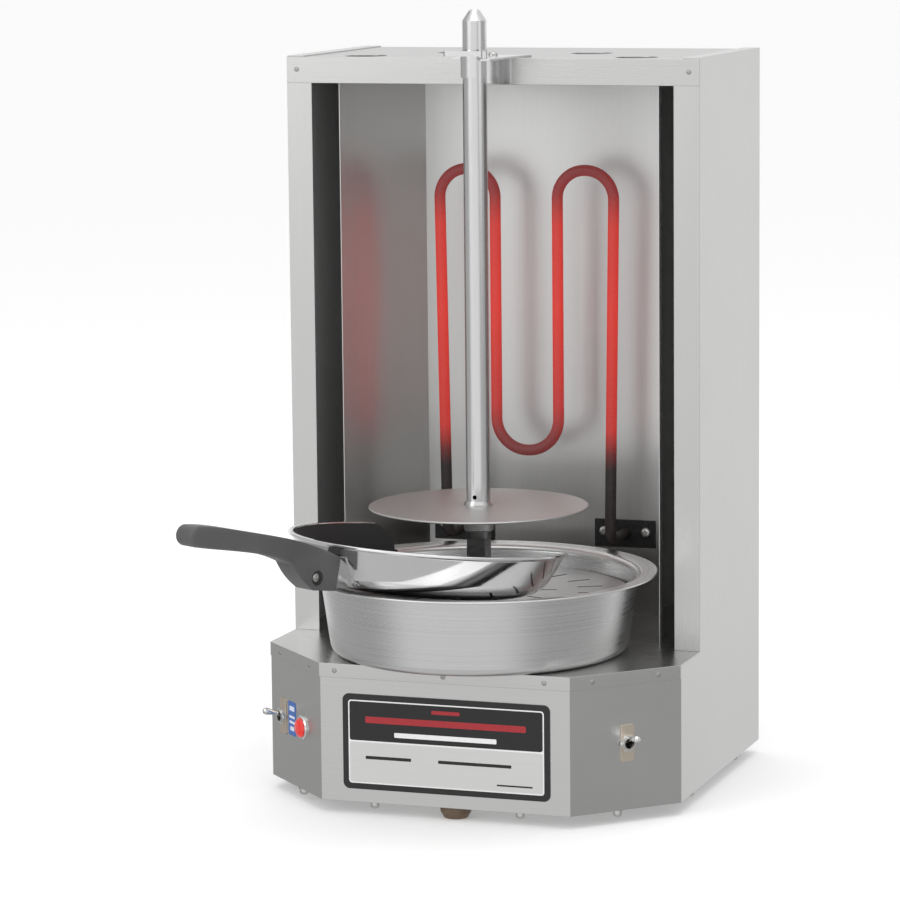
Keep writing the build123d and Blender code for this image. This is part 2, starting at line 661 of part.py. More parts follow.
def scoop_cut():
    """What is cut away from the pan behind the spit, in the pan's frame."""
    corner = (22.5, 7.0)
    left = (-112.0, 143.0)
    outline = FilletPolyline((190, 11.5), corner, left, radius=45)
    rest = Polyline(outline @ 1, (-20, 220), (190, 220), outline @ 0)
    cut = Pos(0, 0, -60) * extrude(make_face([outline, rest]), 80)
    soft = slab(80, 150, -3, 24, -24, 6) - Pos(115, 24, -24) * Rot(0, 90, 0) * Cylinder(24, 80)
    return cut + Rot(0, 0, 125.4) * soft


def catch_pan():
    """Polished steel body of the catch pan."""
    return catch_frame() * (catch_shell(0, CATCH_SHEET, True) - scoop_cut())


def nonstick_lining():
    """Black non-stick layer inside the catch pan."""
    shell = catch_shell(CATCH_SHEET, CATCH_SHEET + LINING_T, False)
    return catch_frame() * (shell - scoop_cut())


def handle_frame():
    """Plane in which the handle's side outline is drawn: X outwards, Y along the pan's axis."""
    turn = radians(HANDLE_DEG)
    frame = catch_frame()
    out = frame.from_local_coords(Vector(cos(turn), sin(turn), 0)) - frame.origin
    across = frame.from_local_coords(Vector(sin(turn), -cos(turn), 0)) - frame.origin
    return Plane(origin=frame.origin, x_dir=out, z_dir=across)


def handle_outline():
    """Side outline of the moulded handle: a deep root with a lug, and a rising grip."""
    root, end = HANDLE_ROOT, HANDLE_TIP
    top = Spline((root, -10.5), (137, -6.5), (163, 1), (186, 6), (208, 9.5), (247, 15),
                 (284, 19.5), (end - 8, 20))
    tip = ThreePointArc((end - 8, 20), (end, 11), (end - 9, 1.5))
    under = Spline((end - 9, 1.5), (274, -1), (233, -5), (200, -11), (183, -17))
    lug = ThreePointArc((183, -17), (170, -31), (156, -40.5))
    foot = Polyline((156, -40.5), (root + 3.5, -42), (root, -10.5))
    return make_face([top, tip, under, lug, foot])


def pan_handle():
    """Black moulded handle with a sunk hole for its screw."""
    grip = extrude(handle_outline(), HANDLE_W / 2, both=True)
    grip = fillet(grip.edges().filter_by(GeomType.BSPLINE), 3.5)
    recess = Pos(HANDLE_SCREW[0], HANDLE_SCREW[1], 0) * Cylinder(7.0, 9)
    for side in (-1, 1):
        grip -= Pos(0, 0, side * (HANDLE_W / 2)) * recess
    return handle_frame() * grip


def handle_screw():
    """Screw and barrel nut through the handle's lug."""
    seat = HANDLE_W / 2 - 4.5
    head = Pos(0, 0, seat) * pan_head(4.5, 3.0)
    tail = Pos(0, 0, -seat) * Rot(180, 0, 0) * pan_head(4.5, 3.0)
    place = Pos(HANDLE_SCREW[0], HANDLE_SCREW[1], 0)
    return group([handle_frame() * place * head, handle_frame() * place * tail])


def pan_bracket():
    """Chromed channel welded to the pan's wall, to which the handle is fixed."""
    side = make_face(Polyline((96, -12), (126, -12), (129, -40), (96, -40), close=True))
    web = make_face(Polyline((121, -12), (122.6, -12), (125.6, -40), (124, -40), close=True))
    channel = extrude(side, 9.0, both=True) - extrude(side, 7.6, both=True)
    channel += extrude(web, 7.6, both=True)
    wings = extrude(side, 15.0, both=True) - extrude(side, 9.0, both=True)
    wings = (handle_frame() * wings) & (catch_frame() * catch_shell(-1.4, 0.0, False))
    inside = catch_frame() * turned(catch_wall(0.0) + [(100, 10), (0, 10)])
    return (handle_frame() * channel) + wings - inside - pan_handle()


# ---- Controls ------------------------------------------------------------------------------


def switch_body(side, along):
    """Toggle switch behind the panel: a block with terminals and a threaded bushing."""
    block = slab(-9, 9, -14, 14, -34, -6.5)
    bushing = Pos(0, 0, -1.0) * (Cylinder(BUSHING_R, 12) - Cylinder(4.7, 14))
    tabs = slab(-3, 3, -0.4, 0.4, -42, -34)
    for y in (-9, 9):
        tabs += slab(-3, 3, y - 0.4, y + 0.4, -42, -34)
    return chamfer_plane(side, along, SWITCH_Z) * (block + bushing + tabs)


def switch_nut(side, along):
    """Chromed hexagon nut with a turned face."""
    nut = Pos(0, 0, PLATE_T) * extrude(RegularPolygon(8.3, 6), 2.8)
    nut &= Pos(0, 0, PLATE_T) * turned([(0, 0), (8.3, 0), (8.3, 2.0), (7.2, 2.8), (0, 2.8)])
    return chamfer_plane(side, along, SWITCH_Z) * (nut - Cylinder(BUSHING_R, 20))


def switch_plate(side, along):
    """Thin plate under the nut, rounded at its corners."""
    plate = extrude(RectangleRounded(14, 34, 2.0), PLATE_T)
    return chamfer_plane(side, along, SWITCH_Z) * (plate - Cylinder(BUSHING_R, 10))


def switch_lever(side, along):
    """Slim lever on a cross pin, with a rounded bulb at its end, tilted up at rest."""
    lever = turned([(0, -1.6), (1.9, -1.2), (1.7, 3), (1.9, 12), (3.0, 17.5), (3.5, 20.5),
                    (2.9, 22.6), (1.5, 23.7), (0, 24)])
    pivot = Rot(0, 90, 0) * Cylinder(1.1, 8.4)
    tilted = Pos(0, 0, -2) * Rot(-LEVER_TILT, 0, 0) * (lever + pivot)
    return chamfer_plane(side, along, SWITCH_Z) * tilted


def pilot_bezel():
    """Turned bezel of the pilot light, with its body behind the panel."""
    rim = turned([(9.2, 0), (11.4, 0), (11.4, 1.4), (10.4, 2.6), (9.2, 2.6)])
    body = Pos(0, 0, -11) * (Cylinder(PILOT_BODY_R, 22) - Cylinder(PILOT_BODY_R - 1.2, 30))
    shelf = ring(9.2, PILOT_BODY_R - 1.2, 0, 0.8)
    return chamfer_plane(-1, PILOT_ALONG, PILOT_Z) * (rim + body + shelf)


def pilot_lens():
    """Red domed lens."""
    dome = turned([(0, 0.8), (9.1, 0.8), (9.0, 3.2), (7.8, 5.0), (5.2, 6.3), (0, 6.9)])
    return chamfer_plane(-1, PILOT_ALONG, PILOT_Z) * dome


def info_sticker():
    """Small plain label between the heat switch and the pilot light."""
    label = extrude(RectangleRounded(17, 32, 1.2), 0.3)
    return chamfer_plane(-1, (HEAT_SWITCH_ALONG + PILOT_ALONG) / 2 - 1.8, 62.8) * label


def name_plate():
    """Plain plate on the front of the base."""
    plate = extrude(RectangleRounded(198.5, 88.5, 6.0), 0.9)
    return Plane(origin=(1.7, NOSE_Y, 56.7), x_dir=(1, 0, 0), z_dir=(0, -1, 0)) * plate


# ---- Electrics -----------------------------------------------------------------------------


def cable_gland():
    """Strain-relief gland in the back sheet, empty, where the supply cable comes in."""
    wall = BACK_Y
    outline = [(4.2, -14), (GLAND_R, -14), (GLAND_R, 0), (14, 0), (14, 4), (11, 6), (8, 13),
               (4.2, 13)]
    return Plane(origin=(GLAND_X, wall, GLAND_Z), z_dir=(0, 1, 0)) * turned(outline)


def terminal_block():
    """Block of wire clamps on the bottom plate, near the gland."""
    block = slab(-150, -90, 205, 225, BOTTOM_T, BOTTOM_T + 18)
    for index in range(4):
        block -= rod(3.0, BOTTOM_T + 10, BOTTOM_T + 20, -142.5 + 15 * index, 215)
    return block


def internal_wiring():
    """Wires from the terminal block to the switches, the motor and the gland."""
    low = BOTTOM_T + 26.0
    gland = (GLAND_X, BACK_Y - 16, GLAND_Z)
    heat = chamfer_plane(-1, HEAT_SWITCH_ALONG, SWITCH_Z) * Pos(0, 0, -45)
    motor = chamfer_plane(1, MOTOR_SWITCH_ALONG, SWITCH_Z) * Pos(0, 0, -45)
    hx, hy = heat.position.X, heat.position.Y
    mx, my = motor.position.X, motor.position.Y
    routes = [
        [gland, (GLAND_X, 228, GLAND_Z), (-127, 215, low), (-127, 215, BOTTOM_T + 18.2)],
        [(-112, 215, BOTTOM_T + 18.2), (-112, 215, low), (-120, 120, low), (hx, hy + 30, low),
         (hx, hy, SWITCH_Z)],
        [(-97, 215, BOTTOM_T + 18.2), (-97, 215, low + 8), (40, 180, low + 8),
         (mx, my + 60, low + 8), (mx, my, SWITCH_Z)],
    ]
    return group([wire(route) for route in routes])


def wire(route):
    """A round wire along straight runs joined by arcs."""
    path = FilletPolyline(*route, radius=6.0)
    return sweep(Plane(origin=path @ 0, z_dir=path % 0) * Circle(1.6), path=path)


parts = {
    "side_panel_right": side_panel(),
    "side_panel_left": mirrored(side_panel()),
    "back_panel": back_panel(),
    "top_panel": top_panel(),
    "deck": deck(),
    "front_apron": front_apron(),
    "bottom_plate": bottom_plate(),
    "feet": feet(),
    "base_nuts": base_nuts(),
    "back_screws": back_screws(),
    "panel_rivets": panel_rivets(),
    "liner": liner(),
    "insulation_blanket": insulation_blanket(),
    "heater_element": heater_element(),
    "terminal_plates": terminal_plates(),
    "terminal_screws": terminal_screws(),
    "element_insulators": element_insulators(),
    "element_studs": element_studs(),
    "spit_tube": spit_tube(),
    "spit_collar": spit_collar(),
    "meat_disc": meat_disc(),
    "disc_hub": disc_hub(),
    "hub_pin": hub_pin(),
    "square_drive": square_drive(),
    "spit_bracket": spit_bracket(),
    "bracket_screw": bracket_screw(),
    "latch_pin": latch_pin(),
    "spit_latch": spit_latch(),
    "drive_gear": drive_gear(),
    "motor_pinion": motor_pinion(),
    "output_shaft": output_shaft(),
    "drive_socket": drive_socket(),
    "socket_screw": socket_screw(),
    "gearbox_housing": gearbox_housing(),
    "gearbox_cover": gearbox_cover(),
    "shaft_bush": shaft_bush(),
    "gearbox_posts": gearbox_posts(),
    "motor_can": motor_can(),
    "drip_pan": drip_pan(),
    "strainer_plate": strainer_plate(),
    "catch_pan": catch_pan(),
    "nonstick_lining": nonstick_lining(),
    "pan_bracket": pan_bracket(),
    "pan_handle": pan_handle(),
    "handle_screw": handle_screw(),
    "heat_switch_body": switch_body(-1, HEAT_SWITCH_ALONG),
    "heat_switch_nut": switch_nut(-1, HEAT_SWITCH_ALONG),
    "heat_switch_plate": switch_plate(-1, HEAT_SWITCH_ALONG),
    "heat_lever": switch_lever(-1, HEAT_SWITCH_ALONG),
    "motor_switch_body": switch_body(1, MOTOR_SWITCH_ALONG),
    "motor_switch_nut": switch_nut(1, MOTOR_SWITCH_ALONG),
    "motor_switch_plate": switch_plate(1, MOTOR_SWITCH_ALONG),
    "motor_lever": switch_lever(1, MOTOR_SWITCH_ALONG),
    "pilot_bezel": pilot_bezel(),
    "pilot_lens": pilot_lens(),
    "info_sticker": info_sticker(),
    "name_plate": name_plate(),
    "cable_gland": cable_gland(),
    "terminal_block": terminal_block(),
    "internal_wiring": internal_wiring(),
}

for name, shape in parts.items():
    export_step(shape, f"parts/{name}.step")
    print(f"{name:22s} {shape.volume / 1000:10.2f} cm3")
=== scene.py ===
from math import cos, pi, radians, sin, tan

import bmesh
import bpy
from mathutils import Matrix, Vector


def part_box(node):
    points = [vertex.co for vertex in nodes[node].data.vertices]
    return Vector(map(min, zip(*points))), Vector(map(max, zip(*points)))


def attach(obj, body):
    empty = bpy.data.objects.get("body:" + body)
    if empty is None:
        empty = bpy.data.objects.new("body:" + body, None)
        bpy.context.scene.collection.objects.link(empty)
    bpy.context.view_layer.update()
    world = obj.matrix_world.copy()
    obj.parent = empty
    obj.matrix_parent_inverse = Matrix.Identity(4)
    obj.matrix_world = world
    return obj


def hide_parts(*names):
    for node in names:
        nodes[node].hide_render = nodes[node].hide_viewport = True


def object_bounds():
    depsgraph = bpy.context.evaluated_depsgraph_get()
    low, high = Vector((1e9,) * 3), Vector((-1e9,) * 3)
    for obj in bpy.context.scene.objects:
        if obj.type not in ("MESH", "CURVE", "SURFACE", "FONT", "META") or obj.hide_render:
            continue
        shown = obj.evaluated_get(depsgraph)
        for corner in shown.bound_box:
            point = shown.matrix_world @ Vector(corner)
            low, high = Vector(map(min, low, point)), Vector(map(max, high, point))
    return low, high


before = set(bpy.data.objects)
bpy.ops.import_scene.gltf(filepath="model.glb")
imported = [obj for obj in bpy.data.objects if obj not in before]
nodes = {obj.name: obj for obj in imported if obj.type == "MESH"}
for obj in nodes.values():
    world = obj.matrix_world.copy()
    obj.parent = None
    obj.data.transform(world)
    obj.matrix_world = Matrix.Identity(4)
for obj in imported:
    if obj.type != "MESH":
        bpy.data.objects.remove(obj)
cad_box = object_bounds()
scene = bpy.context.scene


# ---- Studio --------------------------------------------------------------------------------
# The broiler stands on a plain table, lit a little from within, in a white room whose left and
# right sides are dimmer. A wide soft light hangs in front on the left, with weaker ones on the
# right and above.

CAMERA_LENS = 156.97
CAMERA_PLACE = Vector((1.1531, -3.3878, 0.8374))
CAMERA_YAW = 0.3353
CAMERA_PITCH = 0.1451
CAMERA_ROLL = -0.0099
TABLE_REACH = 150.0
TABLE_GREY = 0.93
TABLE_GLOW = 0.20

camera_data = bpy.data.cameras.new("camera")
camera_data.lens = CAMERA_LENS
camera_data.sensor_width = 36.0
camera_data.clip_start = 0.05
camera_data.clip_end = 600.0
camera = bpy.data.objects.new("camera", camera_data)
scene.collection.objects.link(camera)
scene.camera = camera

look = Vector((-sin(CAMERA_YAW) * cos(CAMERA_PITCH), cos(CAMERA_YAW) * cos(CAMERA_PITCH),
               -sin(CAMERA_PITCH)))
level_right = Vector((cos(CAMERA_YAW), sin(CAMERA_YAW), 0.0))
level_up = level_right.cross(look)
right = level_right * cos(CAMERA_ROLL) + level_up * sin(CAMERA_ROLL)
up = level_up * cos(CAMERA_ROLL) - level_right * sin(CAMERA_ROLL)
camera.matrix_world = Matrix.LocRotScale(
    CAMERA_PLACE, Matrix((right, up, -look)).transposed(), None)

scene.view_settings.view_transform = "Standard"

world = bpy.data.worlds.new("white_room")
scene.world = world
world.use_nodes = True
room = world.node_tree
room.nodes.clear()
room_direction = room.nodes.new("ShaderNodeTexCoord")
room_split = room.nodes.new("ShaderNodeSeparateXYZ")
room_scale = room.nodes.new("ShaderNodeMapRange")
room_scale.inputs["From Min"].default_value = -1.0
room_ramp = room.nodes.new("ShaderNodeValToRGB")
room_stops = room_ramp.color_ramp.elements
room_stops[0].position = 0.0
room_stops[0].color = (0.50, 0.50, 0.50, 1)
room_stops[1].position = 1.0
room_stops[1].color = (0.95, 0.95, 0.95, 1)
for place, grey in ((0.30, 0.55), (0.40, 0.90), (0.49, 1.0), (0.53, 0.86), (0.62, 0.80)):
    stop = room_stops.new(place)
    stop.color = (grey, grey, grey, 1)
room_side = room.nodes.new("ShaderNodeMath")
room_side.operation = "ABSOLUTE"
room_dim = room.nodes.new("ShaderNodeMapRange")
room_dim.interpolation_type = "SMOOTHSTEP"
room_dim.inputs["From Min"].default_value = 0.55
room_dim.inputs["From Max"].default_value = 0.88
room_dim.inputs["To Min"].default_value = 1.0
room_dim.inputs["To Max"].default_value = 0.50
room_tone = room.nodes.new("ShaderNodeVectorMath")
room_tone.operation = "SCALE"
room_light = room.nodes.new("ShaderNodeBackground")
room_light.inputs["Strength"].default_value = 1.0
room_seen = room.nodes.new("ShaderNodeBackground")
room_seen.inputs["Color"].default_value = (1, 1, 1, 1)
room_path = room.nodes.new("ShaderNodeLightPath")
room_mix = room.nodes.new("ShaderNodeMixShader")
room_out = room.nodes.new("ShaderNodeOutputWorld")
room.links.new(room_direction.outputs["Generated"], room_split.inputs[0])
room.links.new(room_split.outputs["Z"], room_scale.inputs["Value"])
room.links.new(room_split.outputs["X"], room_side.inputs[0])
room.links.new(room_side.outputs[0], room_dim.inputs["Value"])
room.links.new(room_scale.outputs["Result"], room_ramp.inputs["Fac"])
room.links.new(room_ramp.outputs["Color"], room_tone.inputs[0])
room.links.new(room_dim.outputs["Result"], room_tone.inputs["Scale"])
room.links.new(room_tone.outputs[0], room_light.inputs["Color"])
room.links.new(room_path.outputs["Is Camera Ray"], room_mix.inputs["Fac"])
room.links.new(room_light.outputs[0], room_mix.inputs[1])
room.links.new(room_seen.outputs[0], room_mix.inputs[2])
room.links.new(room_mix.outputs[0], room_out.inputs["Surface"])


def softbox(name, place, target, width, height, watts):
    """A large soft light that faces a point."""
    data = bpy.data.lights.new(name, "AREA")
    data.shape = "RECTANGLE"
    data.size = width
    data.size_y = height
    data.energy = watts
    lamp = bpy.data.objects.new(name, data)
    scene.collection.objects.link(lamp)
    lamp.location = place
    lamp.rotation_euler = (Vector(target) - Vector(place)).to_track_quat("-Z", "Y").to_euler()


middle = (0.0, 0.05, 0.35)
softbox("key_light", (-2.2, -3.0, 1.9), middle, 2.4, 2.4, 26)
softbox("fill_light", (3.0, -1.2, 1.3), middle, 1.6, 2.0, 7)
softbox("top_light", (0.2, 0.0, 3.0), middle, 2.6, 2.0, 18)

table_bmesh = bmesh.new()
bmesh.ops.create_grid(table_bmesh, x_segments=1, y_segments=1, size=TABLE_REACH)
bmesh.ops.translate(table_bmesh, verts=table_bmesh.verts, vec=(0, 0, cad_box[0].z))
table_mesh = bpy.data.meshes.new("table")
table_bmesh.to_mesh(table_mesh)
table_bmesh.free()
table = bpy.data.objects.new("table", table_mesh)
scene.collection.objects.link(table)
table_paint = bpy.data.materials.new("pale_table")
table_paint.use_nodes = True
table_shader = table_paint.node_tree.nodes["Principled BSDF"]
table_shader.inputs["Base Color"].default_value = (TABLE_GREY, TABLE_GREY, TABLE_GREY, 1)
table_shader.inputs["Roughness"].default_value = 0.75
table_shader.inputs["Emission Color"].default_value = (1, 1, 1, 1)
table_shader.inputs["Emission Strength"].default_value = TABLE_GLOW
table_mesh.materials.append(table_paint)
table.visible_glossy = False


# ---- Cabinet sheets ------------------------------------------------------------------------
# Sides, back, top, deck, apron and bottom are brushed stainless sheet about 1.2 mm thick, cut,
# folded and riveted. The grain runs up the sides and along the top and the base.


def group_socket(tree, name, way, kind, value=None):
    """One named input or output of a shader node group."""
    socket = tree.interface.new_socket(name=name, in_out=way, socket_type=kind)
    if value is not None:
        socket.default_value = value


def finish_sockets(tree, dark_to_light, smooth, coarse, depth):
    """The colours, roughness and bump that a metal's pattern takes, and what it gives."""
    for name, grey in zip(("Dark", "Light"), dark_to_light):
        group_socket(tree, name, "INPUT", "NodeSocketColor", (grey, grey, grey, 1))
    for name, value in (("Smooth", smooth), ("Coarse", coarse), ("Depth", depth)):
        group_socket(tree, name, "INPUT", "NodeSocketFloat", value)
    group_socket(tree, "Color", "OUTPUT", "NodeSocketColor")
    group_socket(tree, "Roughness", "OUTPUT", "NodeSocketFloat")
    group_socket(tree, "Normal", "OUTPUT", "NodeSocketVector")


def build_brushed_grain():
    """Fine parallel scratches with slower cloudy streaks, stretched by a vector."""
    tree = bpy.data.node_groups.new("brushed_grain", "ShaderNodeTree")
    group_socket(tree, "Stretch", "INPUT", "NodeSocketVector", (900, 900, 12))
    finish_sockets(tree, (0.5, 0.7), 0.22, 0.36, 0.06)
    new, link = tree.nodes.new, tree.links.new
    given = new("NodeGroupInput")
    made = new("NodeGroupOutput")
    where = new("ShaderNodeTexCoord")
    stretch = new("ShaderNodeVectorMath")
    stretch.operation = "MULTIPLY"
    hairs = new("ShaderNodeTexNoise")
    hairs.inputs["Scale"].default_value = 1.0
    hairs.inputs["Detail"].default_value = 3.0
    clouds = new("ShaderNodeTexNoise")
    clouds.inputs["Scale"].default_value = 7.0
    clouds.inputs["Detail"].default_value = 3.0
    tone = new("ShaderNodeMix")
    tone.data_type = "RGBA"
    blend = new("ShaderNodeMix")
    blend.inputs["Factor"].default_value = 0.45
    rough = new("ShaderNodeMapRange")
    rough.inputs["From Min"].default_value = 0.3
    rough.inputs["From Max"].default_value = 0.7
    bump = new("ShaderNodeBump")
    bump.inputs["Distance"].default_value = 0.0004
    link(where.outputs["Object"], stretch.inputs[0])
    link(given.outputs["Stretch"], stretch.inputs[1])
    link(stretch.outputs[0], hairs.inputs["Vector"])
    link(where.outputs["Object"], clouds.inputs["Vector"])
    link(hairs.outputs["Fac"], blend.inputs["A"])
    link(clouds.outputs["Fac"], blend.inputs["B"])
    link(blend.outputs["Result"], tone.inputs["Factor"])
    link(given.outputs["Dark"], tone.inputs["A"])
    link(given.outputs["Light"], tone.inputs["B"])
    link(blend.outputs["Result"], rough.inputs["Value"])
    link(given.outputs["Smooth"], rough.inputs["To Min"])
    link(given.outputs["Coarse"], rough.inputs["To Max"])
    link(hairs.outputs["Fac"], bump.inputs["Height"])
    link(given.outputs["Depth"], bump.inputs["Strength"])
    link(tone.outputs["Result"], made.inputs["Color"])
    link(rough.outputs["Result"], made.inputs["Roughness"])
    link(bump.outputs["Normal"], made.inputs["Normal"])
    return tree


brushed_grain = build_brushed_grain()


def new_finish(name, metallic):
    """An empty material, with its node tree and its shader."""
    finish = bpy.data.materials.new(name)
    finish.use_nodes = True
    shader = finish.node_tree.nodes["Principled BSDF"]
    shader.inputs["Metallic"].default_value = metallic
    return finish, finish.node_tree, shader


def place_group(tree, group, **values):
    """A shader node group in a material, with its own values."""
    node = tree.nodes.new("ShaderNodeGroup")
    node.node_tree = group
    for name, value in values.items():
        node.inputs[name.replace("_", " ")].default_value = value
    return node


def show_pattern(tree, pattern, color, shader):
    """Leads a colour, and a pattern's roughness and normal, to the shader."""
    tree.links.new(color, shader.inputs["Base Color"])
    tree.links.new(pattern.outputs["Roughness"], shader.inputs["Roughness"])
    tree.links.new(pattern.outputs["Normal"], shader.inputs["Normal"])


def brushed_steel(name, stretch, dark, light, smooth, coarse, depth):
    """Brushed metal whose grain runs along the short side of the stretch."""
    finish, tree, shader = new_finish(name, 1.0)
    grain = place_group(tree, brushed_grain, Stretch=stretch, Dark=(*dark, 1), Light=(*light, 1),
                        Smooth=smooth, Coarse=coarse, Depth=depth)
    show_pattern(tree, grain, grain.outputs["Color"], shader)
    return finish


def dress(node, finish):
    """Gives a CAD node its finish in every slot."""
    materials = nodes[node].data.materials
    for index in range(len(materials)):
        materials[index] = finish


def publish(mesh_builder, name, finish, body, slot, *replaced):
    """Makes a piece of a finished bmesh, hangs it on its body and hides the parts it replaces."""
    mesh = bpy.data.meshes.new(name)
    mesh_builder.to_mesh(mesh)
    mesh_builder.free()
    mesh.materials.append(finish)
    piece = bpy.data.objects.new(name, mesh)
    scene.collection.objects.link(piece)
    for face in mesh.polygons:
        face.use_smooth = True
        face.material_index = 0
    weights = piece.modifiers.new("even_normals", "WEIGHTED_NORMAL")
    weights.keep_sharp = True
    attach(piece, body)
    if replaced:
        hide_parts(*replaced)
    return piece


MERGE_WITHIN = 0.00001
FLAT_WITHIN = radians(0.6)
SHARP_ABOVE = radians(28)


def eased(node, finish, body, slot, width):
    """The node's own shape with its sharp edges broken by a small bevel."""
    made = bmesh.new()
    made.from_mesh(nodes[node].data)
    bmesh.ops.remove_doubles(made, verts=made.verts, dist=MERGE_WITHIN)
    bmesh.ops.dissolve_limit(made, angle_limit=FLAT_WITHIN, verts=made.verts, edges=made.edges)
    sharp = [edge for edge in made.edges
             if len(edge.link_faces) == 2 and edge.calc_face_angle(0.0) > SHARP_ABOVE]
    bmesh.ops.bevel(made, geom=sharp, offset=width, offset_type="OFFSET", affect="EDGES",
                    segments=2, profile=0.5, material=-1, clamp_overlap=True)
    return publish(made, node + "_eased", finish, body, slot, node)


STEEL_DARK = (0.54, 0.54, 0.535)
STEEL_LIGHT = (0.68, 0.68, 0.672)
upright_steel = brushed_steel("upright_grain_steel", (1500, 1500, 9), STEEL_DARK, STEEL_LIGHT,
                              0.25, 0.38, 0.10)
level_steel = brushed_steel("level_grain_steel", (9, 1500, 1500), STEEL_DARK, STEEL_LIGHT,
                            0.24, 0.37, 0.10)

# The box's inner faces lie between these planes, and shine this much.
INNER_HALF_WIDTH = 0.1994
INNER_FRONT_Y = 0.0426
INNER_BACK_Y = 0.2554
INNER_METALLIC = 0.12


def dull_inside(finish):
    """Leaves the inner faces of the box as the dull side of the sheet, unpolished."""
    tree = finish.node_tree
    new, link = tree.nodes.new, tree.links.new
    where = new("ShaderNodeTexCoord")
    split = new("ShaderNodeSeparateXYZ")
    link(where.outputs["Object"], split.inputs[0])
    across = new("ShaderNodeMath")
    across.operation = "ABSOLUTE"
    link(split.outputs["X"], across.inputs[0])
    tests = []
    for source, operation, limit in ((across.outputs[0], "LESS_THAN", INNER_HALF_WIDTH),
                                     (split.outputs["Y"], "GREATER_THAN", INNER_FRONT_Y),
                                     (split.outputs["Y"], "LESS_THAN", INNER_BACK_Y)):
        test = new("ShaderNodeMath")
        test.operation = operation
        test.inputs[1].default_value = limit
        link(source, test.inputs[0])
        tests.append(test)
    inside = new("ShaderNodeMath")
    inside.operation = "MULTIPLY"
    link(tests[0].outputs[0], inside.inputs[0])
    link(tests[1].outputs[0], inside.inputs[1])
    boxed = new("ShaderNodeMath")
    boxed.operation = "MULTIPLY"
    link(inside.outputs[0], boxed.inputs[0])
    link(tests[2].outputs[0], boxed.inputs[1])
    metal = new("ShaderNodeMapRange")
    metal.inputs["To Min"].default_value = 1.0
    metal.inputs["To Max"].default_value = INNER_METALLIC
    link(boxed.outputs[0], metal.inputs["Value"])
    link(metal.outputs["Result"], tree.nodes["Principled BSDF"].inputs["Metallic"])


SHEET_EASING = 0.0003
dull_inside(upright_steel)
for node in ("side_panel_left", "side_panel_right", "back_panel"):
    eased(node, upright_steel, "cabinet", "cabinet_steel", SHEET_EASING)
for node in ("top_panel", "deck", "front_apron", "bottom_plate"):
    eased(node, level_steel, "cabinet", "cabinet_steel", SHEET_EASING)


# ---- Rivets and screws ---------------------------------------------------------------------
# Low dull rivets, and screws, nuts, pins and posts rolled from steel wire and zinc plated. They
# hold the sheets, the bracket, the heater's plates and the gear case.

zinc = brushed_steel("zinc_plate", (260, 260, 260), (0.50, 0.50, 0.49), (0.78, 0.78, 0.75),
                     0.20, 0.42, 0.04)
dress("panel_rivets", brushed_steel("pressed_rivet", (260, 260, 260), (0.40, 0.40, 0.395),
                                    (0.54, 0.54, 0.53), 0.46, 0.60, 0.04))
for node in ("back_screws", "base_nuts", "bracket_screw", "terminal_screws",
             "handle_screw", "element_studs", "socket_screw", "hub_pin", "latch_pin",
             "gearbox_posts"):
    dress(node, zinc)


# ---- Liner ---------------------------------------------------------------------------------
# Thin bright sheet bent to a flat back with two flaring sides. It throws the heat forwards, and
# it is darker towards the bottom, in patches.


def tint_by_height(tree, color_out, low, high, tint):
    """Multiplies a colour by a tint between two heights, broken up by noise."""
    new, link = tree.nodes.new, tree.links.new
    where = new("ShaderNodeTexCoord")
    split = new("ShaderNodeSeparateXYZ")
    patches = new("ShaderNodeTexNoise")
    patches.inputs["Scale"].default_value = 5.0
    patches.inputs["Detail"].default_value = 4.0
    band = new("ShaderNodeMapRange")
    band.interpolation_type = "SMOOTHSTEP"
    band.inputs["From Min"].default_value = high
    band.inputs["From Max"].default_value = low
    amount = new("ShaderNodeMath")
    amount.operation = "MULTIPLY"
    mix = new("ShaderNodeMix")
    mix.data_type = "RGBA"
    mix.blend_type = "MULTIPLY"
    mix.inputs["B"].default_value = (*tint, 1)
    link(where.outputs["Object"], split.inputs[0])
    link(where.outputs["Object"], patches.inputs["Vector"])
    link(split.outputs["Z"], band.inputs["Value"])
    link(band.outputs["Result"], amount.inputs[0])
    link(patches.outputs["Fac"], amount.inputs[1])
    link(amount.outputs[0], mix.inputs["Factor"])
    link(color_out, mix.inputs["A"])
    return mix.outputs["Result"]


TINT_LOW_Z = 0.14
TINT_HIGH_Z = 0.34
LINER_OUTER_LIMIT = 0.05   # facing and place, multiplied, above which a face is on the outside


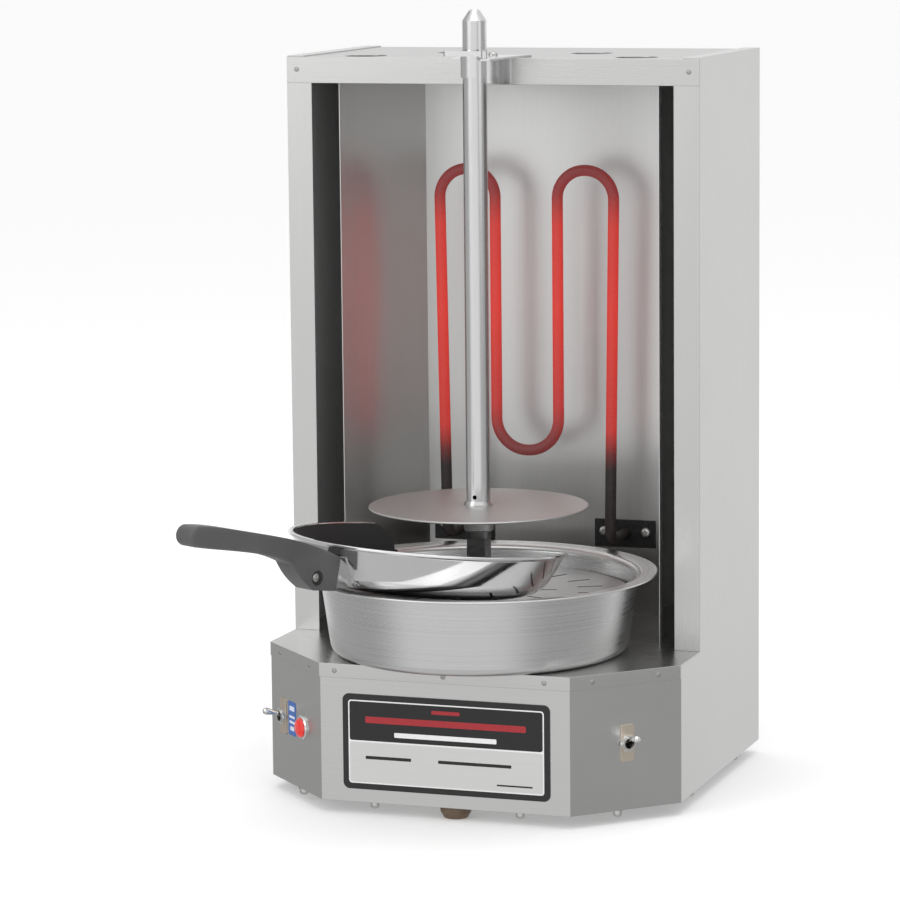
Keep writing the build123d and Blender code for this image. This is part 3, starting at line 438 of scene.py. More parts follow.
def liner_finish():
    """Bright reflector sheet, blurred along its grain, darker low down and dull outside."""
    finish, tree, shader = new_finish("liner_sheet", 1.0)
    grain = place_group(tree, brushed_grain, Stretch=(1100, 1100, 7), Dark=(0.60, 0.60, 0.595, 1),
                        Light=(0.74, 0.74, 0.73, 1), Smooth=0.29, Coarse=0.40, Depth=0.07)
    color = tint_by_height(tree, grain.outputs["Color"], TINT_LOW_Z, TINT_HIGH_Z,
                           (0.76, 0.74, 0.72))
    show_pattern(tree, grain, color, shader)
    new, link = tree.nodes.new, tree.links.new
    where = new("ShaderNodeTexCoord")
    facing = new("ShaderNodeSeparateXYZ")
    place = new("ShaderNodeSeparateXYZ")
    outwards = new("ShaderNodeMath")
    outwards.operation = "MULTIPLY"
    outer = new("ShaderNodeMath")
    outer.operation = "GREATER_THAN"
    outer.inputs[1].default_value = LINER_OUTER_LIMIT
    metal = new("ShaderNodeMapRange")
    metal.inputs["To Min"].default_value = 1.0
    metal.inputs["To Max"].default_value = INNER_METALLIC
    link(where.outputs["Normal"], facing.inputs[0])
    link(where.outputs["Object"], place.inputs[0])
    link(facing.outputs["X"], outwards.inputs[0])
    link(place.outputs["X"], outwards.inputs[1])
    link(outwards.outputs[0], outer.inputs[0])
    link(outer.outputs[0], metal.inputs["Value"])
    link(metal.outputs["Result"], shader.inputs["Metallic"])
    return finish


eased("liner", liner_finish(), "cabinet", "liner_steel", 0.00015)


# ---- Heater --------------------------------------------------------------------------------
# One tube of oxidised alloy packed with powder round its wire, bent to an M and switched on. The
# straight legs glow red, the bends less, and the cold ends stay black.


def heater_finish():
    """Oxide-dark sheath that glows by height, and less on the side towards the liner."""
    finish, tree, shader = new_finish("glowing_sheath", 0.0)
    new, link = tree.nodes.new, tree.links.new
    low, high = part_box("heater_element")
    where = new("ShaderNodeTexCoord")
    split = new("ShaderNodeSeparateXYZ")
    height = new("ShaderNodeMapRange")
    height.inputs["From Min"].default_value = low.z
    height.inputs["From Max"].default_value = high.z

    def glow_ramp(bands):
        """Glow by height, from the foot to the top."""
        ramp = new("ShaderNodeValToRGB")
        stops = ramp.color_ramp.elements
        stops[0].position = 0.0
        stops[0].color = (0, 0, 0, 1)
        stops[1].position = 1.0
        stops[1].color = (0.16, 0.014, 0.014, 1)
        for place, color in bands:
            stop = stops.new(place)
            stop.color = (*color, 1)
        link(height.outputs["Result"], ramp.inputs["Fac"])
        return ramp

    upper = [(0.62, (0.62, 0.024, 0.014)), (0.84, (0.54, 0.024, 0.016)),
             (0.93, (0.22, 0.015, 0.015))]
    legs = glow_ramp([(0.205, (0.001, 0.001, 0.001)), (0.245, (0.09, 0.006, 0.006)),
                      (0.31, (0.46, 0.020, 0.014))] + upper)
    loop = glow_ramp([(0.235, (0.11, 0.012, 0.012)), (0.29, (0.17, 0.014, 0.014)),
                      (0.37, (0.42, 0.020, 0.016))] + upper)
    sideways = new("ShaderNodeMath")
    sideways.operation = "ABSOLUTE"
    inner = new("ShaderNodeMath")
    inner.operation = "LESS_THAN"
    inner.inputs[1].default_value = high.x * 0.5
    glow = new("ShaderNodeMix")
    glow.data_type = "RGBA"
    link(split.outputs["X"], sideways.inputs[0])
    link(sideways.outputs[0], inner.inputs[0])
    link(inner.outputs[0], glow.inputs["Factor"])
    link(legs.outputs["Color"], glow.inputs["A"])
    link(loop.outputs["Color"], glow.inputs["B"])
    scale = new("ShaderNodeTexNoise")
    scale.inputs["Scale"].default_value = 420.0
    scale.inputs["Detail"].default_value = 4.0
    skin = new("ShaderNodeMix")
    skin.data_type = "RGBA"
    skin.inputs["A"].default_value = (0.022, 0.018, 0.018, 1)
    skin.inputs["B"].default_value = (0.075, 0.060, 0.058, 1)
    bump = new("ShaderNodeBump")
    bump.inputs["Strength"].default_value = 0.15
    bump.inputs["Distance"].default_value = 0.0003
    link(where.outputs["Object"], split.inputs[0])
    link(where.outputs["Object"], scale.inputs["Vector"])
    facing = new("ShaderNodeSeparateXYZ")
    rear = new("ShaderNodeMapRange")
    rear.interpolation_type = "SMOOTHSTEP"
    rear.inputs["From Min"].default_value = -0.4
    rear.inputs["From Max"].default_value = 0.6
    rear.inputs["To Min"].default_value = 1.0
    rear.inputs["To Max"].default_value = 0.30
    shaded = new("ShaderNodeVectorMath")
    shaded.operation = "SCALE"
    link(where.outputs["Normal"], facing.inputs[0])
    link(facing.outputs["Y"], rear.inputs["Value"])
    link(glow.outputs["Result"], shaded.inputs[0])
    link(rear.outputs["Result"], shaded.inputs["Scale"])
    link(split.outputs["Z"], height.inputs["Value"])
    link(shaded.outputs[0], shader.inputs["Emission Color"])
    link(scale.outputs["Fac"], skin.inputs["Factor"])
    link(skin.outputs["Result"], shader.inputs["Base Color"])
    link(scale.outputs["Fac"], bump.inputs["Height"])
    link(bump.outputs["Normal"], shader.inputs["Normal"])
    shader.inputs["Emission Strength"].default_value = 1.0
    shader.inputs["Roughness"].default_value = 0.5
    shader.inputs["Specular IOR Level"].default_value = 0.3
    return finish


dress("heater_element", heater_finish())


# ---- Heater's end fittings -----------------------------------------------------------------
# Blackened steel plates clamp the heater's ends to the liner. Behind it sit glazed ceramic
# collars, and a batt of matted mineral fibre keeps the heat from the back sheet.


def mottled(name, dark, light, size, roughness, depth, metallic=0.0):
    """A plain material with fine mottling in its colour and its surface."""
    finish, tree, shader = new_finish(name, metallic)
    new, link = tree.nodes.new, tree.links.new
    where = new("ShaderNodeTexCoord")
    grain = new("ShaderNodeTexNoise")
    grain.inputs["Scale"].default_value = size
    grain.inputs["Detail"].default_value = 5.0
    mix = new("ShaderNodeMix")
    mix.data_type = "RGBA"
    mix.inputs["A"].default_value = (*dark, 1)
    mix.inputs["B"].default_value = (*light, 1)
    rough = new("ShaderNodeMapRange")
    rough.inputs["To Min"].default_value = roughness * 0.85
    rough.inputs["To Max"].default_value = min(1.0, roughness * 1.15)
    bump = new("ShaderNodeBump")
    bump.inputs["Strength"].default_value = depth
    bump.inputs["Distance"].default_value = 0.0003
    link(where.outputs["Object"], grain.inputs["Vector"])
    link(grain.outputs["Fac"], mix.inputs["Factor"])
    link(grain.outputs["Fac"], rough.inputs["Value"])
    link(grain.outputs["Fac"], bump.inputs["Height"])
    link(mix.outputs["Result"], shader.inputs["Base Color"])
    link(rough.outputs["Result"], shader.inputs["Roughness"])
    link(bump.outputs["Normal"], shader.inputs["Normal"])
    return finish


eased("terminal_plates", mottled("blackened_steel", (0.020, 0.020, 0.021), (0.060, 0.060, 0.062),
                                 300, 0.45, 0.15, 0.6), "cabinet", "black_plate", 0.0004)
dress("element_insulators", mottled("glazed_ceramic", (0.74, 0.71, 0.63), (0.82, 0.79, 0.71),
                                    120, 0.22, 0.03))
dress("insulation_blanket", mottled("mineral_fibre", (0.42, 0.37, 0.24), (0.66, 0.60, 0.42),
                                    160, 0.95, 0.9))


# ---- Spit ----------------------------------------------------------------------------------
# A polished stainless tube closed by a cone, with a flared collar on a flat disc. A hub is
# pinned under the disc, and its square shank drops into the drive.

polished = brushed_steel("polished_steel", (500, 500, 500), (0.64, 0.64, 0.64),
                         (0.80, 0.80, 0.80), 0.10, 0.20, 0.015)
tube_steel = brushed_steel("drawn_tube", (900, 900, 30), (0.60, 0.60, 0.60),
                           (0.80, 0.80, 0.80), 0.16, 0.28, 0.04)
dress("spit_tube", tube_steel)
dress("spit_collar", polished)


def build_spun_rings():
    """Fine turning marks: rings round the Z axis, by radius and height."""
    tree = bpy.data.node_groups.new("spun_rings", "ShaderNodeTree")
    group_socket(tree, "Pitch", "INPUT", "NodeSocketFloat", 900.0)
    finish_sockets(tree, (0.5, 0.7), 0.24, 0.4, 0.1)
    new, link = tree.nodes.new, tree.links.new
    given = new("NodeGroupInput")
    made = new("NodeGroupOutput")
    where = new("ShaderNodeTexCoord")
    split = new("ShaderNodeSeparateXYZ")
    flat = new("ShaderNodeCombineXYZ")
    radius = new("ShaderNodeVectorMath")
    radius.operation = "LENGTH"
    turning = new("ShaderNodeCombineXYZ")
    pitch = new("ShaderNodeVectorMath")
    pitch.operation = "SCALE"
    marks = new("ShaderNodeTexNoise")
    marks.inputs["Scale"].default_value = 1.0
    marks.inputs["Detail"].default_value = 2.0
    tone = new("ShaderNodeMix")
    tone.data_type = "RGBA"
    rough = new("ShaderNodeMapRange")
    rough.inputs["From Min"].default_value = 0.3
    rough.inputs["From Max"].default_value = 0.7
    bump = new("ShaderNodeBump")
    bump.inputs["Distance"].default_value = 0.0003
    link(where.outputs["Object"], split.inputs[0])
    link(split.outputs["X"], flat.inputs["X"])
    link(split.outputs["Y"], flat.inputs["Y"])
    link(flat.outputs[0], radius.inputs[0])
    link(radius.outputs["Value"], turning.inputs["X"])
    link(split.outputs["Z"], turning.inputs["Y"])
    link(turning.outputs[0], pitch.inputs[0])
    link(given.outputs["Pitch"], pitch.inputs["Scale"])
    link(pitch.outputs[0], marks.inputs["Vector"])
    link(marks.outputs["Fac"], tone.inputs["Factor"])
    link(given.outputs["Dark"], tone.inputs["A"])
    link(given.outputs["Light"], tone.inputs["B"])
    link(marks.outputs["Fac"], rough.inputs["Value"])
    link(given.outputs["Smooth"], rough.inputs["To Min"])
    link(given.outputs["Coarse"], rough.inputs["To Max"])
    link(marks.outputs["Fac"], bump.inputs["Height"])
    link(given.outputs["Depth"], bump.inputs["Strength"])
    link(tone.outputs["Result"], made.inputs["Color"])
    link(rough.outputs["Result"], made.inputs["Roughness"])
    link(bump.outputs["Normal"], made.inputs["Normal"])
    return tree


spun_rings = build_spun_rings()


def spun_metal(name, pitch, dark, light, smooth, coarse, depth):
    """Metal with turning marks round the spit's axis."""
    finish, tree, shader = new_finish(name, 1.0)
    rings = place_group(tree, spun_rings, Pitch=pitch, Dark=(*dark, 1), Light=(*light, 1),
                        Smooth=smooth, Coarse=coarse, Depth=depth)
    show_pattern(tree, rings, rings.outputs["Color"], shader)
    return finish


disc_steel = spun_metal("turned_disc", 1400, (0.50, 0.50, 0.495), (0.68, 0.68, 0.67), 0.40, 0.54,
                        0.08)
dress("meat_disc", disc_steel)
dress("disc_hub", disc_steel)
plain_steel = brushed_steel("plain_steel", (300, 300, 300), (0.16, 0.16, 0.16),
                            (0.34, 0.34, 0.335), 0.25, 0.45, 0.05)
eased("square_drive", plain_steel, "spit", "dark_steel", 0.0004)


# ---- Top bracket and latch -----------------------------------------------------------------
# A polished plate on the cabinet's top reaches forward round the spit. A keeper with a curved
# tab swings on a pin in the plate's right arm and shuts the notch.

eased("spit_bracket", polished, "cabinet", "polished_steel", 0.0004)
eased("spit_latch", polished, "latch", "polished_steel", 0.0003)


# ---- Drive ---------------------------------------------------------------------------------
# A motor with a small pinion turns a large gear inside a cast case hung under the deck. Its
# shaft runs in a bronze bush and carries the socket that takes the spit.

for node in ("output_shaft", "drive_gear", "motor_pinion"):
    dress(node, plain_steel)
dress("drive_socket", spun_metal("turned_socket", 1200, (0.26, 0.26, 0.26), (0.46, 0.46, 0.45),
                                 0.22, 0.38, 0.08))
dress("shaft_bush", mottled("sintered_bronze", (0.36, 0.21, 0.09), (0.58, 0.38, 0.18), 500, 0.42,
                            0.2, 1.0))
cast_case = mottled("cast_aluminium", (0.36, 0.37, 0.38), (0.56, 0.57, 0.58), 420, 0.55, 0.5, 1.0)
dress("gearbox_housing", cast_case)
dress("gearbox_cover", cast_case)
dress("motor_can", mottled("motor_enamel", (0.012, 0.012, 0.014), (0.026, 0.026, 0.029), 90,
                           0.35, 0.08))


# ---- Drip pan and strainer -----------------------------------------------------------------
# The pan is spun from aluminium sheet with a wide flared rim and a tube drawn up round the
# socket. The strainer is a loose pressed disc with radial slots.


def corner_wire(made, corners):
    """A closed wire through corners given as (radius, height, easing), each one rounded."""
    verts = [made.verts.new((x, 0.0, z)) for x, z, _ in corners]
    for start, end in zip(verts, verts[1:]):
        made.edges.new((start, end))
    made.edges.new((verts[-1], verts[0]))
    for vert, (_, _, easing) in zip(verts, corners):
        if easing > 0:
            bmesh.ops.bevel(made, geom=[vert], offset=easing, offset_type="OFFSET",
                            affect="VERTICES", segments=8, profile=0.5, material=-1)


def turned_piece(corners, steps):
    """A closed outline turned all the way round the Z axis, its corners in millimetres."""
    made = bmesh.new()
    corner_wire(made, [(x / 1000, z / 1000, e / 1000) for x, z, e in corners])
    bmesh.ops.spin(made, geom=made.verts[:] + made.edges[:], cent=(0, 0, 0), axis=(0, 0, 1),
                   angle=2 * pi, steps=steps, use_merge=True)
    bmesh.ops.remove_doubles(made, verts=made.verts, dist=0.000005)
    bmesh.ops.dissolve_degenerate(made, edges=made.edges, dist=0.000001)
    bmesh.ops.recalc_face_normals(made, faces=made.faces)
    return made


PAN_SHEET = 1.6
TUBE_R = 18.5
TUBE_TOP = 165.0
FLOOR_R = 137.4
MOUTH_R = 147.3
TURNED_STEPS = 160
pan_low, pan_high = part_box("drip_pan")
pan_foot = pan_low.z * 1000
pan_rim = pan_high.z * 1000
pan_reach = pan_high.x * 1000
drip_corners = [(TUBE_R, pan_foot, 0), (FLOOR_R, pan_foot, 8.5), (MOUTH_R, pan_rim - 2.7, 3.0),
                (pan_reach, pan_rim - 1.7, 0.6), (pan_reach, pan_rim, 0.6),
                (MOUTH_R + 1.7, pan_rim - 1.0, 3.0), (MOUTH_R - 1.7, pan_rim - 4.6, 2.0),
                (FLOOR_R - 1.5, pan_foot + PAN_SHEET, 7.5),
                (TUBE_R + PAN_SHEET, pan_foot + PAN_SHEET, 2.0),
                (TUBE_R + PAN_SHEET, TUBE_TOP, 0.5), (TUBE_R, TUBE_TOP, 0.5)]
spun_aluminium = spun_metal("spun_aluminium", 1100, (0.78, 0.78, 0.78), (0.92, 0.92, 0.92),
                            0.24, 0.38, 0.14)
publish(turned_piece(drip_corners, TURNED_STEPS), "drip_pan_spun", spun_aluminium, "drip_pan",
        "spun_aluminium", "drip_pan")
dress("strainer_plate", spun_metal("pressed_strainer", 700, (0.64, 0.64, 0.64),
                                   (0.70, 0.70, 0.70), 0.30, 0.35, 0.006))


# ---- Catch pan -----------------------------------------------------------------------------
# A mirror-polished steel pan with a black non-stick inside, leaning on the drip pan's rim. It is
# cut away behind, in a bent line that goes round the spit.

PAN_CENTRE = Vector((-0.0345, -0.038, 0.2355))
pan_up = Vector((0.0587, 0.0854, 1.0)).normalized()
pan_x = Vector((1.0, 0.0, -0.0587)).normalized()
pan_y = pan_up.cross(pan_x)
pan_place = Matrix.Translation(PAN_CENTRE) @ Matrix((pan_x, pan_y, pan_up)).transposed().to_4x4()
PAN_DEPTH = 44.0
FOOT_R = 88.0
CORNER_R = 30.0
WALL_LEAN = radians(62.4)
WALL_TOP = -4.0
RIM_R = 130.5
SHELL = 2.4
COATED = 2.9
PRESSED_STEPS = 192
SCOOP_TURN = radians(125.4)


def wall_corner(inset):
    """Where the floor's and the wall's lines meet, and how far the bend reaches from there."""
    bend = (CORNER_R - inset) * tan(WALL_LEAN / 2)
    return (FOOT_R + bend, inset - PAN_DEPTH, bend)


def wall_top(inset):
    """Radius of the wall just under the rim."""
    reach, floor, _ = wall_corner(inset)
    return reach + (WALL_TOP - floor) / tan(WALL_LEAN)


def grow_solid(made, offset):
    """Extrudes every face of a flat shape by an offset."""
    grown = bmesh.ops.extrude_face_region(made, geom=made.faces[:])
    moved = [item for item in grown["geom"] if isinstance(item, bmesh.types.BMVert)]
    bmesh.ops.translate(made, vec=offset, verts=moved)


def scoop_cutters():
    """Two closed shapes, in the pan's frame: what the scoop cut takes, and a soft end to it."""
    main = bmesh.new()
    outline = [(0.190, 0.0115), (0.0225, 0.007), (-0.112, 0.143), (-0.020, 0.220), (0.190, 0.220)]
    verts = [main.verts.new((x, y, -0.060)) for x, y in outline]
    main.faces.new(verts)
    bmesh.ops.bevel(main, geom=[verts[1]], offset=0.0195, offset_type="OFFSET",
                    affect="VERTICES", segments=24, profile=0.5, material=-1)
    grow_solid(main, (0, 0, 0.080))
    bmesh.ops.recalc_face_normals(main, faces=main.faces)
    soft = bmesh.new()
    side = [(-0.003, -0.024), (0.0, -0.024), (0.0, 0.0), (0.024, 0.0), (0.024, 0.006),
            (-0.003, 0.006)]
    verts = [soft.verts.new((0.080, y, z)) for y, z in side]
    soft.faces.new(verts)
    bmesh.ops.bevel(soft, geom=[verts[2]], offset=0.0239, offset_type="OFFSET",
                    affect="VERTICES", segments=16, profile=0.5, material=-1)
    grow_solid(soft, (0.070, 0, 0))
    bmesh.ops.rotate(soft, verts=soft.verts, cent=(0, 0, 0),
                     matrix=Matrix.Rotation(SCOOP_TURN, 3, "Z"))
    bmesh.ops.recalc_face_normals(soft, faces=soft.faces)
    return [main, soft]


def cut_by(made, cutters):
    """The closed shape with the cutters' shapes taken away."""
    mesh = bpy.data.meshes.new("uncut")
    made.to_mesh(mesh)
    made.free()
    body = bpy.data.objects.new("uncut", mesh)
    scene.collection.objects.link(body)
    tools = []
    for cutter in cutters:
        tool_mesh = bpy.data.meshes.new("cutter")
        cutter.to_mesh(tool_mesh)
        cutter.free()
        tool = bpy.data.objects.new("cutter", tool_mesh)
        scene.collection.objects.link(tool)
        tools.append(tool)
        taken = body.modifiers.new("taken_away", "BOOLEAN")
        taken.operation = "DIFFERENCE"
        taken.solver = "EXACT"
        taken.object = tool
    bpy.context.view_layer.update()
    result = bmesh.new()
    result.from_object(body, bpy.context.evaluated_depsgraph_get())
    for spent in [body, *tools]:
        bpy.data.objects.remove(spent)
    return result


outer_corner = wall_corner(0)
inner_corner = wall_corner(SHELL)
shell_corners = [(0, -PAN_DEPTH, 0), outer_corner, (wall_top(0) + 0.3, -3.4, 1.2),
                 (RIM_R, -2.4, 0.5), (RIM_R, 0, 0.7), (wall_top(SHELL) + 1.8, 0, 0.7),
                 inner_corner, (0, SHELL - PAN_DEPTH, 0)]
shell = cut_by(turned_piece(shell_corners, PRESSED_STEPS), scoop_cutters())
bmesh.ops.transform(shell, matrix=pan_place, verts=shell.verts)
mirror_polish = brushed_steel("mirror_polish", (240, 240, 240), (0.80, 0.80, 0.80),
                              (0.88, 0.88, 0.88), 0.075, 0.14, 0.008)
publish(shell, "catch_pan_pressed", mirror_polish, "catch_pan", "polished_steel", "catch_pan")

coat_corners = [(0, SHELL - PAN_DEPTH, 0), inner_corner, (wall_top(SHELL) + 1.2, -1.2, 0),
                (wall_top(COATED) + 1.0, -0.9, 0), wall_corner(COATED),
                (0, COATED - PAN_DEPTH, 0)]
coat = cut_by(turned_piece(coat_corners, PRESSED_STEPS), scoop_cutters())
bmesh.ops.transform(coat, matrix=pan_place, verts=coat.verts)
publish(coat, "nonstick_coat", mottled("nonstick_coat", (0.022, 0.022, 0.022),
                                       (0.048, 0.048, 0.049), 900, 0.60, 0.25), "catch_pan",
        "nonstick", "nonstick_lining")
dress("pan_bracket", polished)


# ---- Pan handle ----------------------------------------------------------------------------
# Moulded black phenolic with a deep root and a rising grip, held by one screw through its lug.
# The mould has left a fine satin grain.


def moulded_black(name, grey, roughness):
    """Satin black moulding, a little greyer and smoother where hands rub it."""
    finish, tree, shader = new_finish(name, 0.0)
    new, link = tree.nodes.new, tree.links.new
    where = new("ShaderNodeTexCoord")
    pits = new("ShaderNodeTexNoise")
    pits.inputs["Scale"].default_value = 1400.0
    wear = new("ShaderNodeTexNoise")
    wear.inputs["Scale"].default_value = 22.0
    wear.inputs["Detail"].default_value = 5.0
    mix = new("ShaderNodeMix")
    mix.data_type = "RGBA"
    mix.inputs["A"].default_value = (grey * 0.6, grey * 0.6, grey * 0.62, 1)
    mix.inputs["B"].default_value = (grey * 1.5, grey * 1.5, grey * 1.55, 1)
    rough = new("ShaderNodeMapRange")
    rough.inputs["From Min"].default_value = 0.3
    rough.inputs["From Max"].default_value = 0.7
    rough.inputs["To Min"].default_value = roughness * 0.8
    rough.inputs["To Max"].default_value = roughness * 1.2
    bump = new("ShaderNodeBump")
    bump.inputs["Strength"].default_value = 0.25
    bump.inputs["Distance"].default_value = 0.0002
    link(where.outputs["Object"], pits.inputs["Vector"])
    link(where.outputs["Object"], wear.inputs["Vector"])
    link(wear.outputs["Fac"], mix.inputs["Factor"])
    link(wear.outputs["Fac"], rough.inputs["Value"])
    link(pits.outputs["Fac"], bump.inputs["Height"])
    link(mix.outputs["Result"], shader.inputs["Base Color"])
    link(rough.outputs["Result"], shader.inputs["Roughness"])
    link(bump.outputs["Normal"], shader.inputs["Normal"])
    return finish


phenolic = moulded_black("black_phenolic", 0.085, 0.42)
dress("pan_handle", phenolic)


# ---- Switches ------------------------------------------------------------------------------
# Two toggle switches sit in the cut-off corners. Each has a chromed lever and nut over a thin
# etched plate, and a moulded body behind the sheet.

chrome = brushed_steel("bright_chrome", (300, 300, 300), (0.74, 0.74, 0.74), (0.84, 0.84, 0.84),
                       0.06, 0.13, 0.01)
etched = brushed_steel("etched_aluminium", (1200, 1200, 20), (0.66, 0.57, 0.47),
                       (0.82, 0.73, 0.62), 0.34, 0.46, 0.06)
CHAMFER_NORMAL_X = 0.7119
CHAMFER_NORMAL_Y = -0.7023
BUSHING_START = 0.0065     # depth behind the plate at which the bushing begins


def switch_body_finish(side, way):
    """Black moulding behind the sheet whose threaded bushing, further out, is chromed."""
    finish, tree, shader = new_finish(side + "_switch_body", 0.0)
    new, link = tree.nodes.new, tree.links.new
    low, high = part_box(side + "_switch_plate")
    outwards = Vector((way * CHAMFER_NORMAL_X, CHAMFER_NORMAL_Y, 0.0))
    where = new("ShaderNodeTexCoord")
    reach = new("ShaderNodeVectorMath")
    reach.operation = "DOT_PRODUCT"
    reach.inputs[1].default_value = outwards
    bushing = new("ShaderNodeMath")
    bushing.operation = "GREATER_THAN"
    bushing.inputs[1].default_value = outwards.dot((low + high) / 2) - BUSHING_START
    grain = new("ShaderNodeTexNoise")
    grain.inputs["Scale"].default_value = 500.0
    black = new("ShaderNodeMix")
    black.data_type = "RGBA"
    black.inputs["A"].default_value = (0.02, 0.02, 0.02, 1)
    black.inputs["B"].default_value = (0.05, 0.05, 0.05, 1)
    tone = new("ShaderNodeMix")
    tone.data_type = "RGBA"
    tone.inputs["B"].default_value = (0.70, 0.69, 0.66, 1)
    link(where.outputs["Object"], reach.inputs[0])
    link(reach.outputs["Value"], bushing.inputs[0])
    link(where.outputs["Object"], grain.inputs["Vector"])
    link(grain.outputs["Fac"], black.inputs["Factor"])
    link(bushing.outputs[0], tone.inputs["Factor"])
    link(black.outputs["Result"], tone.inputs["A"])
    link(tone.outputs["Result"], shader.inputs["Base Color"])
    link(bushing.outputs[0], shader.inputs["Metallic"])
    shader.inputs["Roughness"].default_value = 0.25
    return finish


for side, way in (("heat", -1), ("motor", 1)):
    dress(side + "_lever", chrome)
    eased(side + "_switch_nut", chrome, "cabinet", "chrome_trim", 0.00025)
    eased(side + "_switch_plate", etched, "cabinet", "etched_plate", 0.0002)
    dress(side + "_switch_body", switch_body_finish(side, way))


# ---- Pilot light ---------------------------------------------------------------------------
# A red plastic dome in a turned bezel, lit from behind while the heater is on. Beside it sits a
# small blue label with plain pale marks.

dress("pilot_bezel", chrome)


def lens_finish():
    """Clear red plastic with a lamp behind it."""
    finish, tree, shader = new_finish("red_lens", 0.0)
    new, link = tree.nodes.new, tree.links.new
    where = new("ShaderNodeTexCoord")
    ribs = new("ShaderNodeTexNoise")
    ribs.inputs["Scale"].default_value = 260.0
    glow = new("ShaderNodeMix")
    glow.data_type = "RGBA"
    glow.inputs["A"].default_value = (0.42, 0.010, 0.010, 1)
    glow.inputs["B"].default_value = (0.80, 0.045, 0.030, 1)
    link(where.outputs["Object"], ribs.inputs["Vector"])
    link(ribs.outputs["Fac"], glow.inputs["Factor"])
    link(glow.outputs["Result"], shader.inputs["Base Color"])
    link(glow.outputs["Result"], shader.inputs["Emission Color"])
    shader.inputs["Emission Strength"].default_value = 0.35
    shader.inputs["Roughness"].default_value = 0.12
    shader.inputs["Coat Weight"].default_value = 0.6
    return finish


dress("pilot_lens", lens_finish())
dress("info_sticker", mottled("blue_film", (0.030, 0.105, 0.360), (0.045, 0.150, 0.470), 80,
                              0.35, 0.03))

MARK_LIFT = 0.00021
MARK_THICK = 0.0001
marks = bmesh.new()
label_low, label_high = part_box("info_sticker")
label_middle = (label_low + label_high) / 2
along = Vector((-CHAMFER_NORMAL_Y, -CHAMFER_NORMAL_X, 0.0))
out = Vector((-CHAMFER_NORMAL_X, CHAMFER_NORMAL_Y, 0.0))
for height, half_wide, half_tall in ((0.0095, 0.0055, 0.0022), (0.0015, 0.0062, 0.0012),
                                     (-0.0035, 0.0062, 0.0012), (-0.0095, 0.0045, 0.0020)):
    corners = [label_middle + out * MARK_LIFT + along * (half_wide * across) +
               Vector((0, 0, height + half_tall * rise))
               for across, rise in ((-1, -1), (1, -1), (1, 1), (-1, 1))]
    marks.faces.new([marks.verts.new(corner) for corner in corners])
grow_solid(marks, -out * MARK_THICK)
bmesh.ops.recalc_face_normals(marks, faces=marks.faces)
publish(marks, "sticker_marks", mottled("pale_print", (0.60, 0.66, 0.78), (0.70, 0.75, 0.86), 200,
                                        0.40, 0.02), "cabinet", "sticker")


# ---- Name plate ----------------------------------------------------------------------------
# A thin etched plate: a black border and a black upper field, with a pale lower field under a
# white line. Plain bars stand where lettering would be.

plate_low, plate_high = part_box("name_plate")
dress("name_plate", mottled("plate_black", (0.010, 0.010, 0.010), (0.020, 0.020, 0.021), 200,
                            0.50, 0.03))
white_ink = mottled("white_ink", (0.78, 0.78, 0.78), (0.86, 0.86, 0.86), 250, 0.40, 0.03)
silver_field = brushed_steel("silver_field", (20, 900, 900), (0.70, 0.70, 0.69),
                             (0.84, 0.84, 0.83), 0.34, 0.46, 0.04)
black_ink = mottled("black_ink", (0.010, 0.010, 0.010), (0.017, 0.017, 0.017), 200, 0.55, 0.03)
red_ink = mottled("red_ink", (0.34, 0.012, 0.020), (0.42, 0.020, 0.028), 200, 0.38, 0.03)
INK = 0.00006
LINE_EDGE = 0.0055
FIELD_EDGE = 0.0067
FIELD_SPLIT_LOW = 0.0440
FIELD_SPLIT_HIGH = 0.0455


def plate_patch(made, left, right, bottom, top, layer, rounding):
    """A flat rounded patch of ink on the plate, by distance from its left and lower edges."""
    x0, x1 = plate_low.x + left, plate_low.x + right
    z0, z1 = plate_low.z + bottom, plate_low.z + top
    y = plate_low.y - INK * layer
    verts = [made.verts.new(p) for p in ((x0, y, z0), (x1, y, z0), (x1, y, z1), (x0, y, z1))]
    face = made.faces.new(verts)
    face.normal_update()
    if rounding > 0:
        bmesh.ops.bevel(made, geom=verts, offset=rounding, offset_type="OFFSET",
                        affect="VERTICES", segments=6, profile=0.5, material=-1)


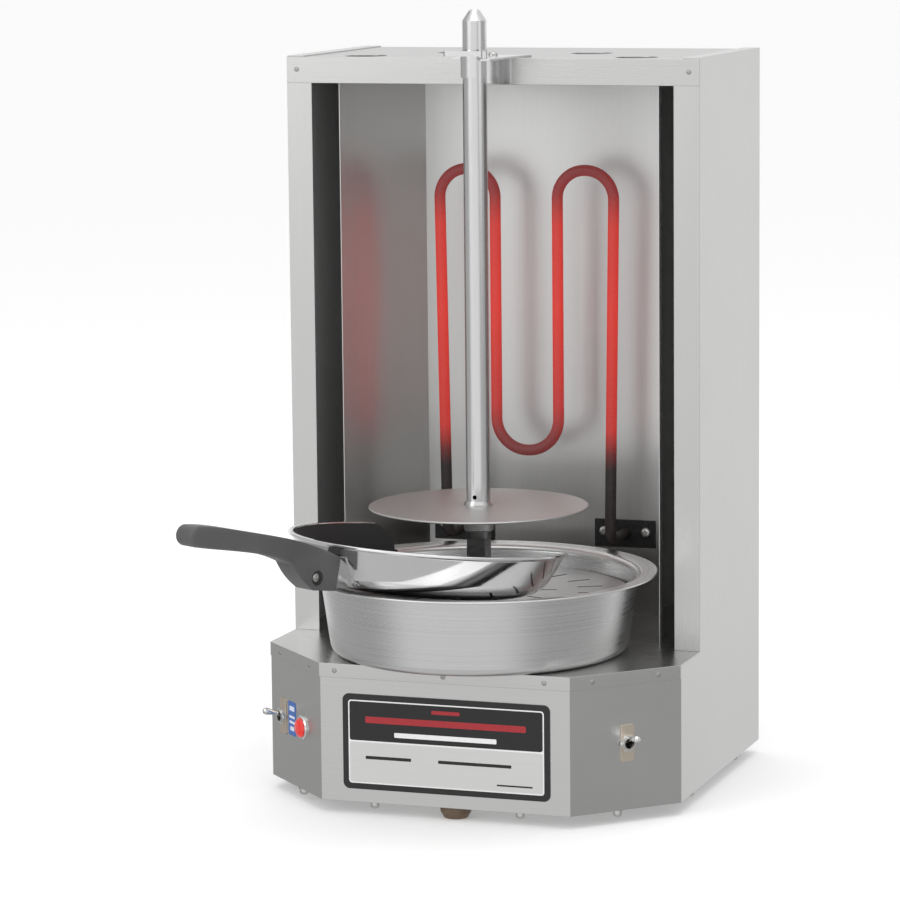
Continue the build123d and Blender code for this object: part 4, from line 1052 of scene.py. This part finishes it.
def plate_layer(name, finish, patches):
    """One colour of ink, pressed out a little from the plate."""
    made = bmesh.new()
    for left, right, bottom, top, layer, rounding in patches:
        plate_patch(made, left, right, bottom, top, layer, rounding)
    grow_solid(made, (0, INK, 0))
    bmesh.ops.recalc_face_normals(made, faces=made.faces)
    return publish(made, name, finish, "cabinet", "etched_plate")


WIDE = plate_high.x - plate_low.x
TALL = plate_high.z - plate_low.z
plate_layer("plate_white_line", white_ink,
            [(LINE_EDGE, WIDE - LINE_EDGE, LINE_EDGE, TALL - LINE_EDGE, 1, 0.0030)])
plate_layer("plate_upper_field", black_ink,
            [(FIELD_EDGE, WIDE - FIELD_EDGE, FIELD_SPLIT_HIGH, TALL - FIELD_EDGE, 2, 0.0022)])
plate_layer("plate_lower_field", silver_field,
            [(FIELD_EDGE, WIDE - FIELD_EDGE, FIELD_EDGE, FIELD_SPLIT_LOW, 2, 0.0022)])
plate_layer("plate_red_bars", red_ink, [(0.086, 0.113, 0.0738, 0.0772, 3, 0.0008),
                                        (0.022, 0.176, 0.0622, 0.0682, 3, 0.0012)])
plate_layer("plate_white_bar", white_ink, [(0.050, 0.148, 0.0500, 0.0545, 3, 0.0008)])
plate_layer("plate_black_bars", black_ink, [(0.022, 0.066, 0.0285, 0.0315, 3, 0.0006),
                                            (0.092, 0.162, 0.0285, 0.0315, 3, 0.0006),
                                            (0.148, 0.182, 0.0115, 0.0130, 3, 0.0004)])


# ---- Feet, gland and wiring ----------------------------------------------------------------
# Turned rubber feet carry the base. A nylon gland stands in the back sheet, and a clamp block
# and three sleeved wires sit inside.

dress("feet", mottled("brown_rubber", (0.10, 0.065, 0.04), (0.19, 0.13, 0.085), 240, 0.55, 0.25))
dress("cable_gland", moulded_black("black_nylon", 0.022, 0.45))
dress("terminal_block", phenolic)
dress("internal_wiring", mottled("wire_sleeve", (0.52, 0.51, 0.46), (0.68, 0.67, 0.61), 300,
                                 0.7, 0.2))


# ---- Finish --------------------------------------------------------------------------------

bpy.context.view_layer.update()
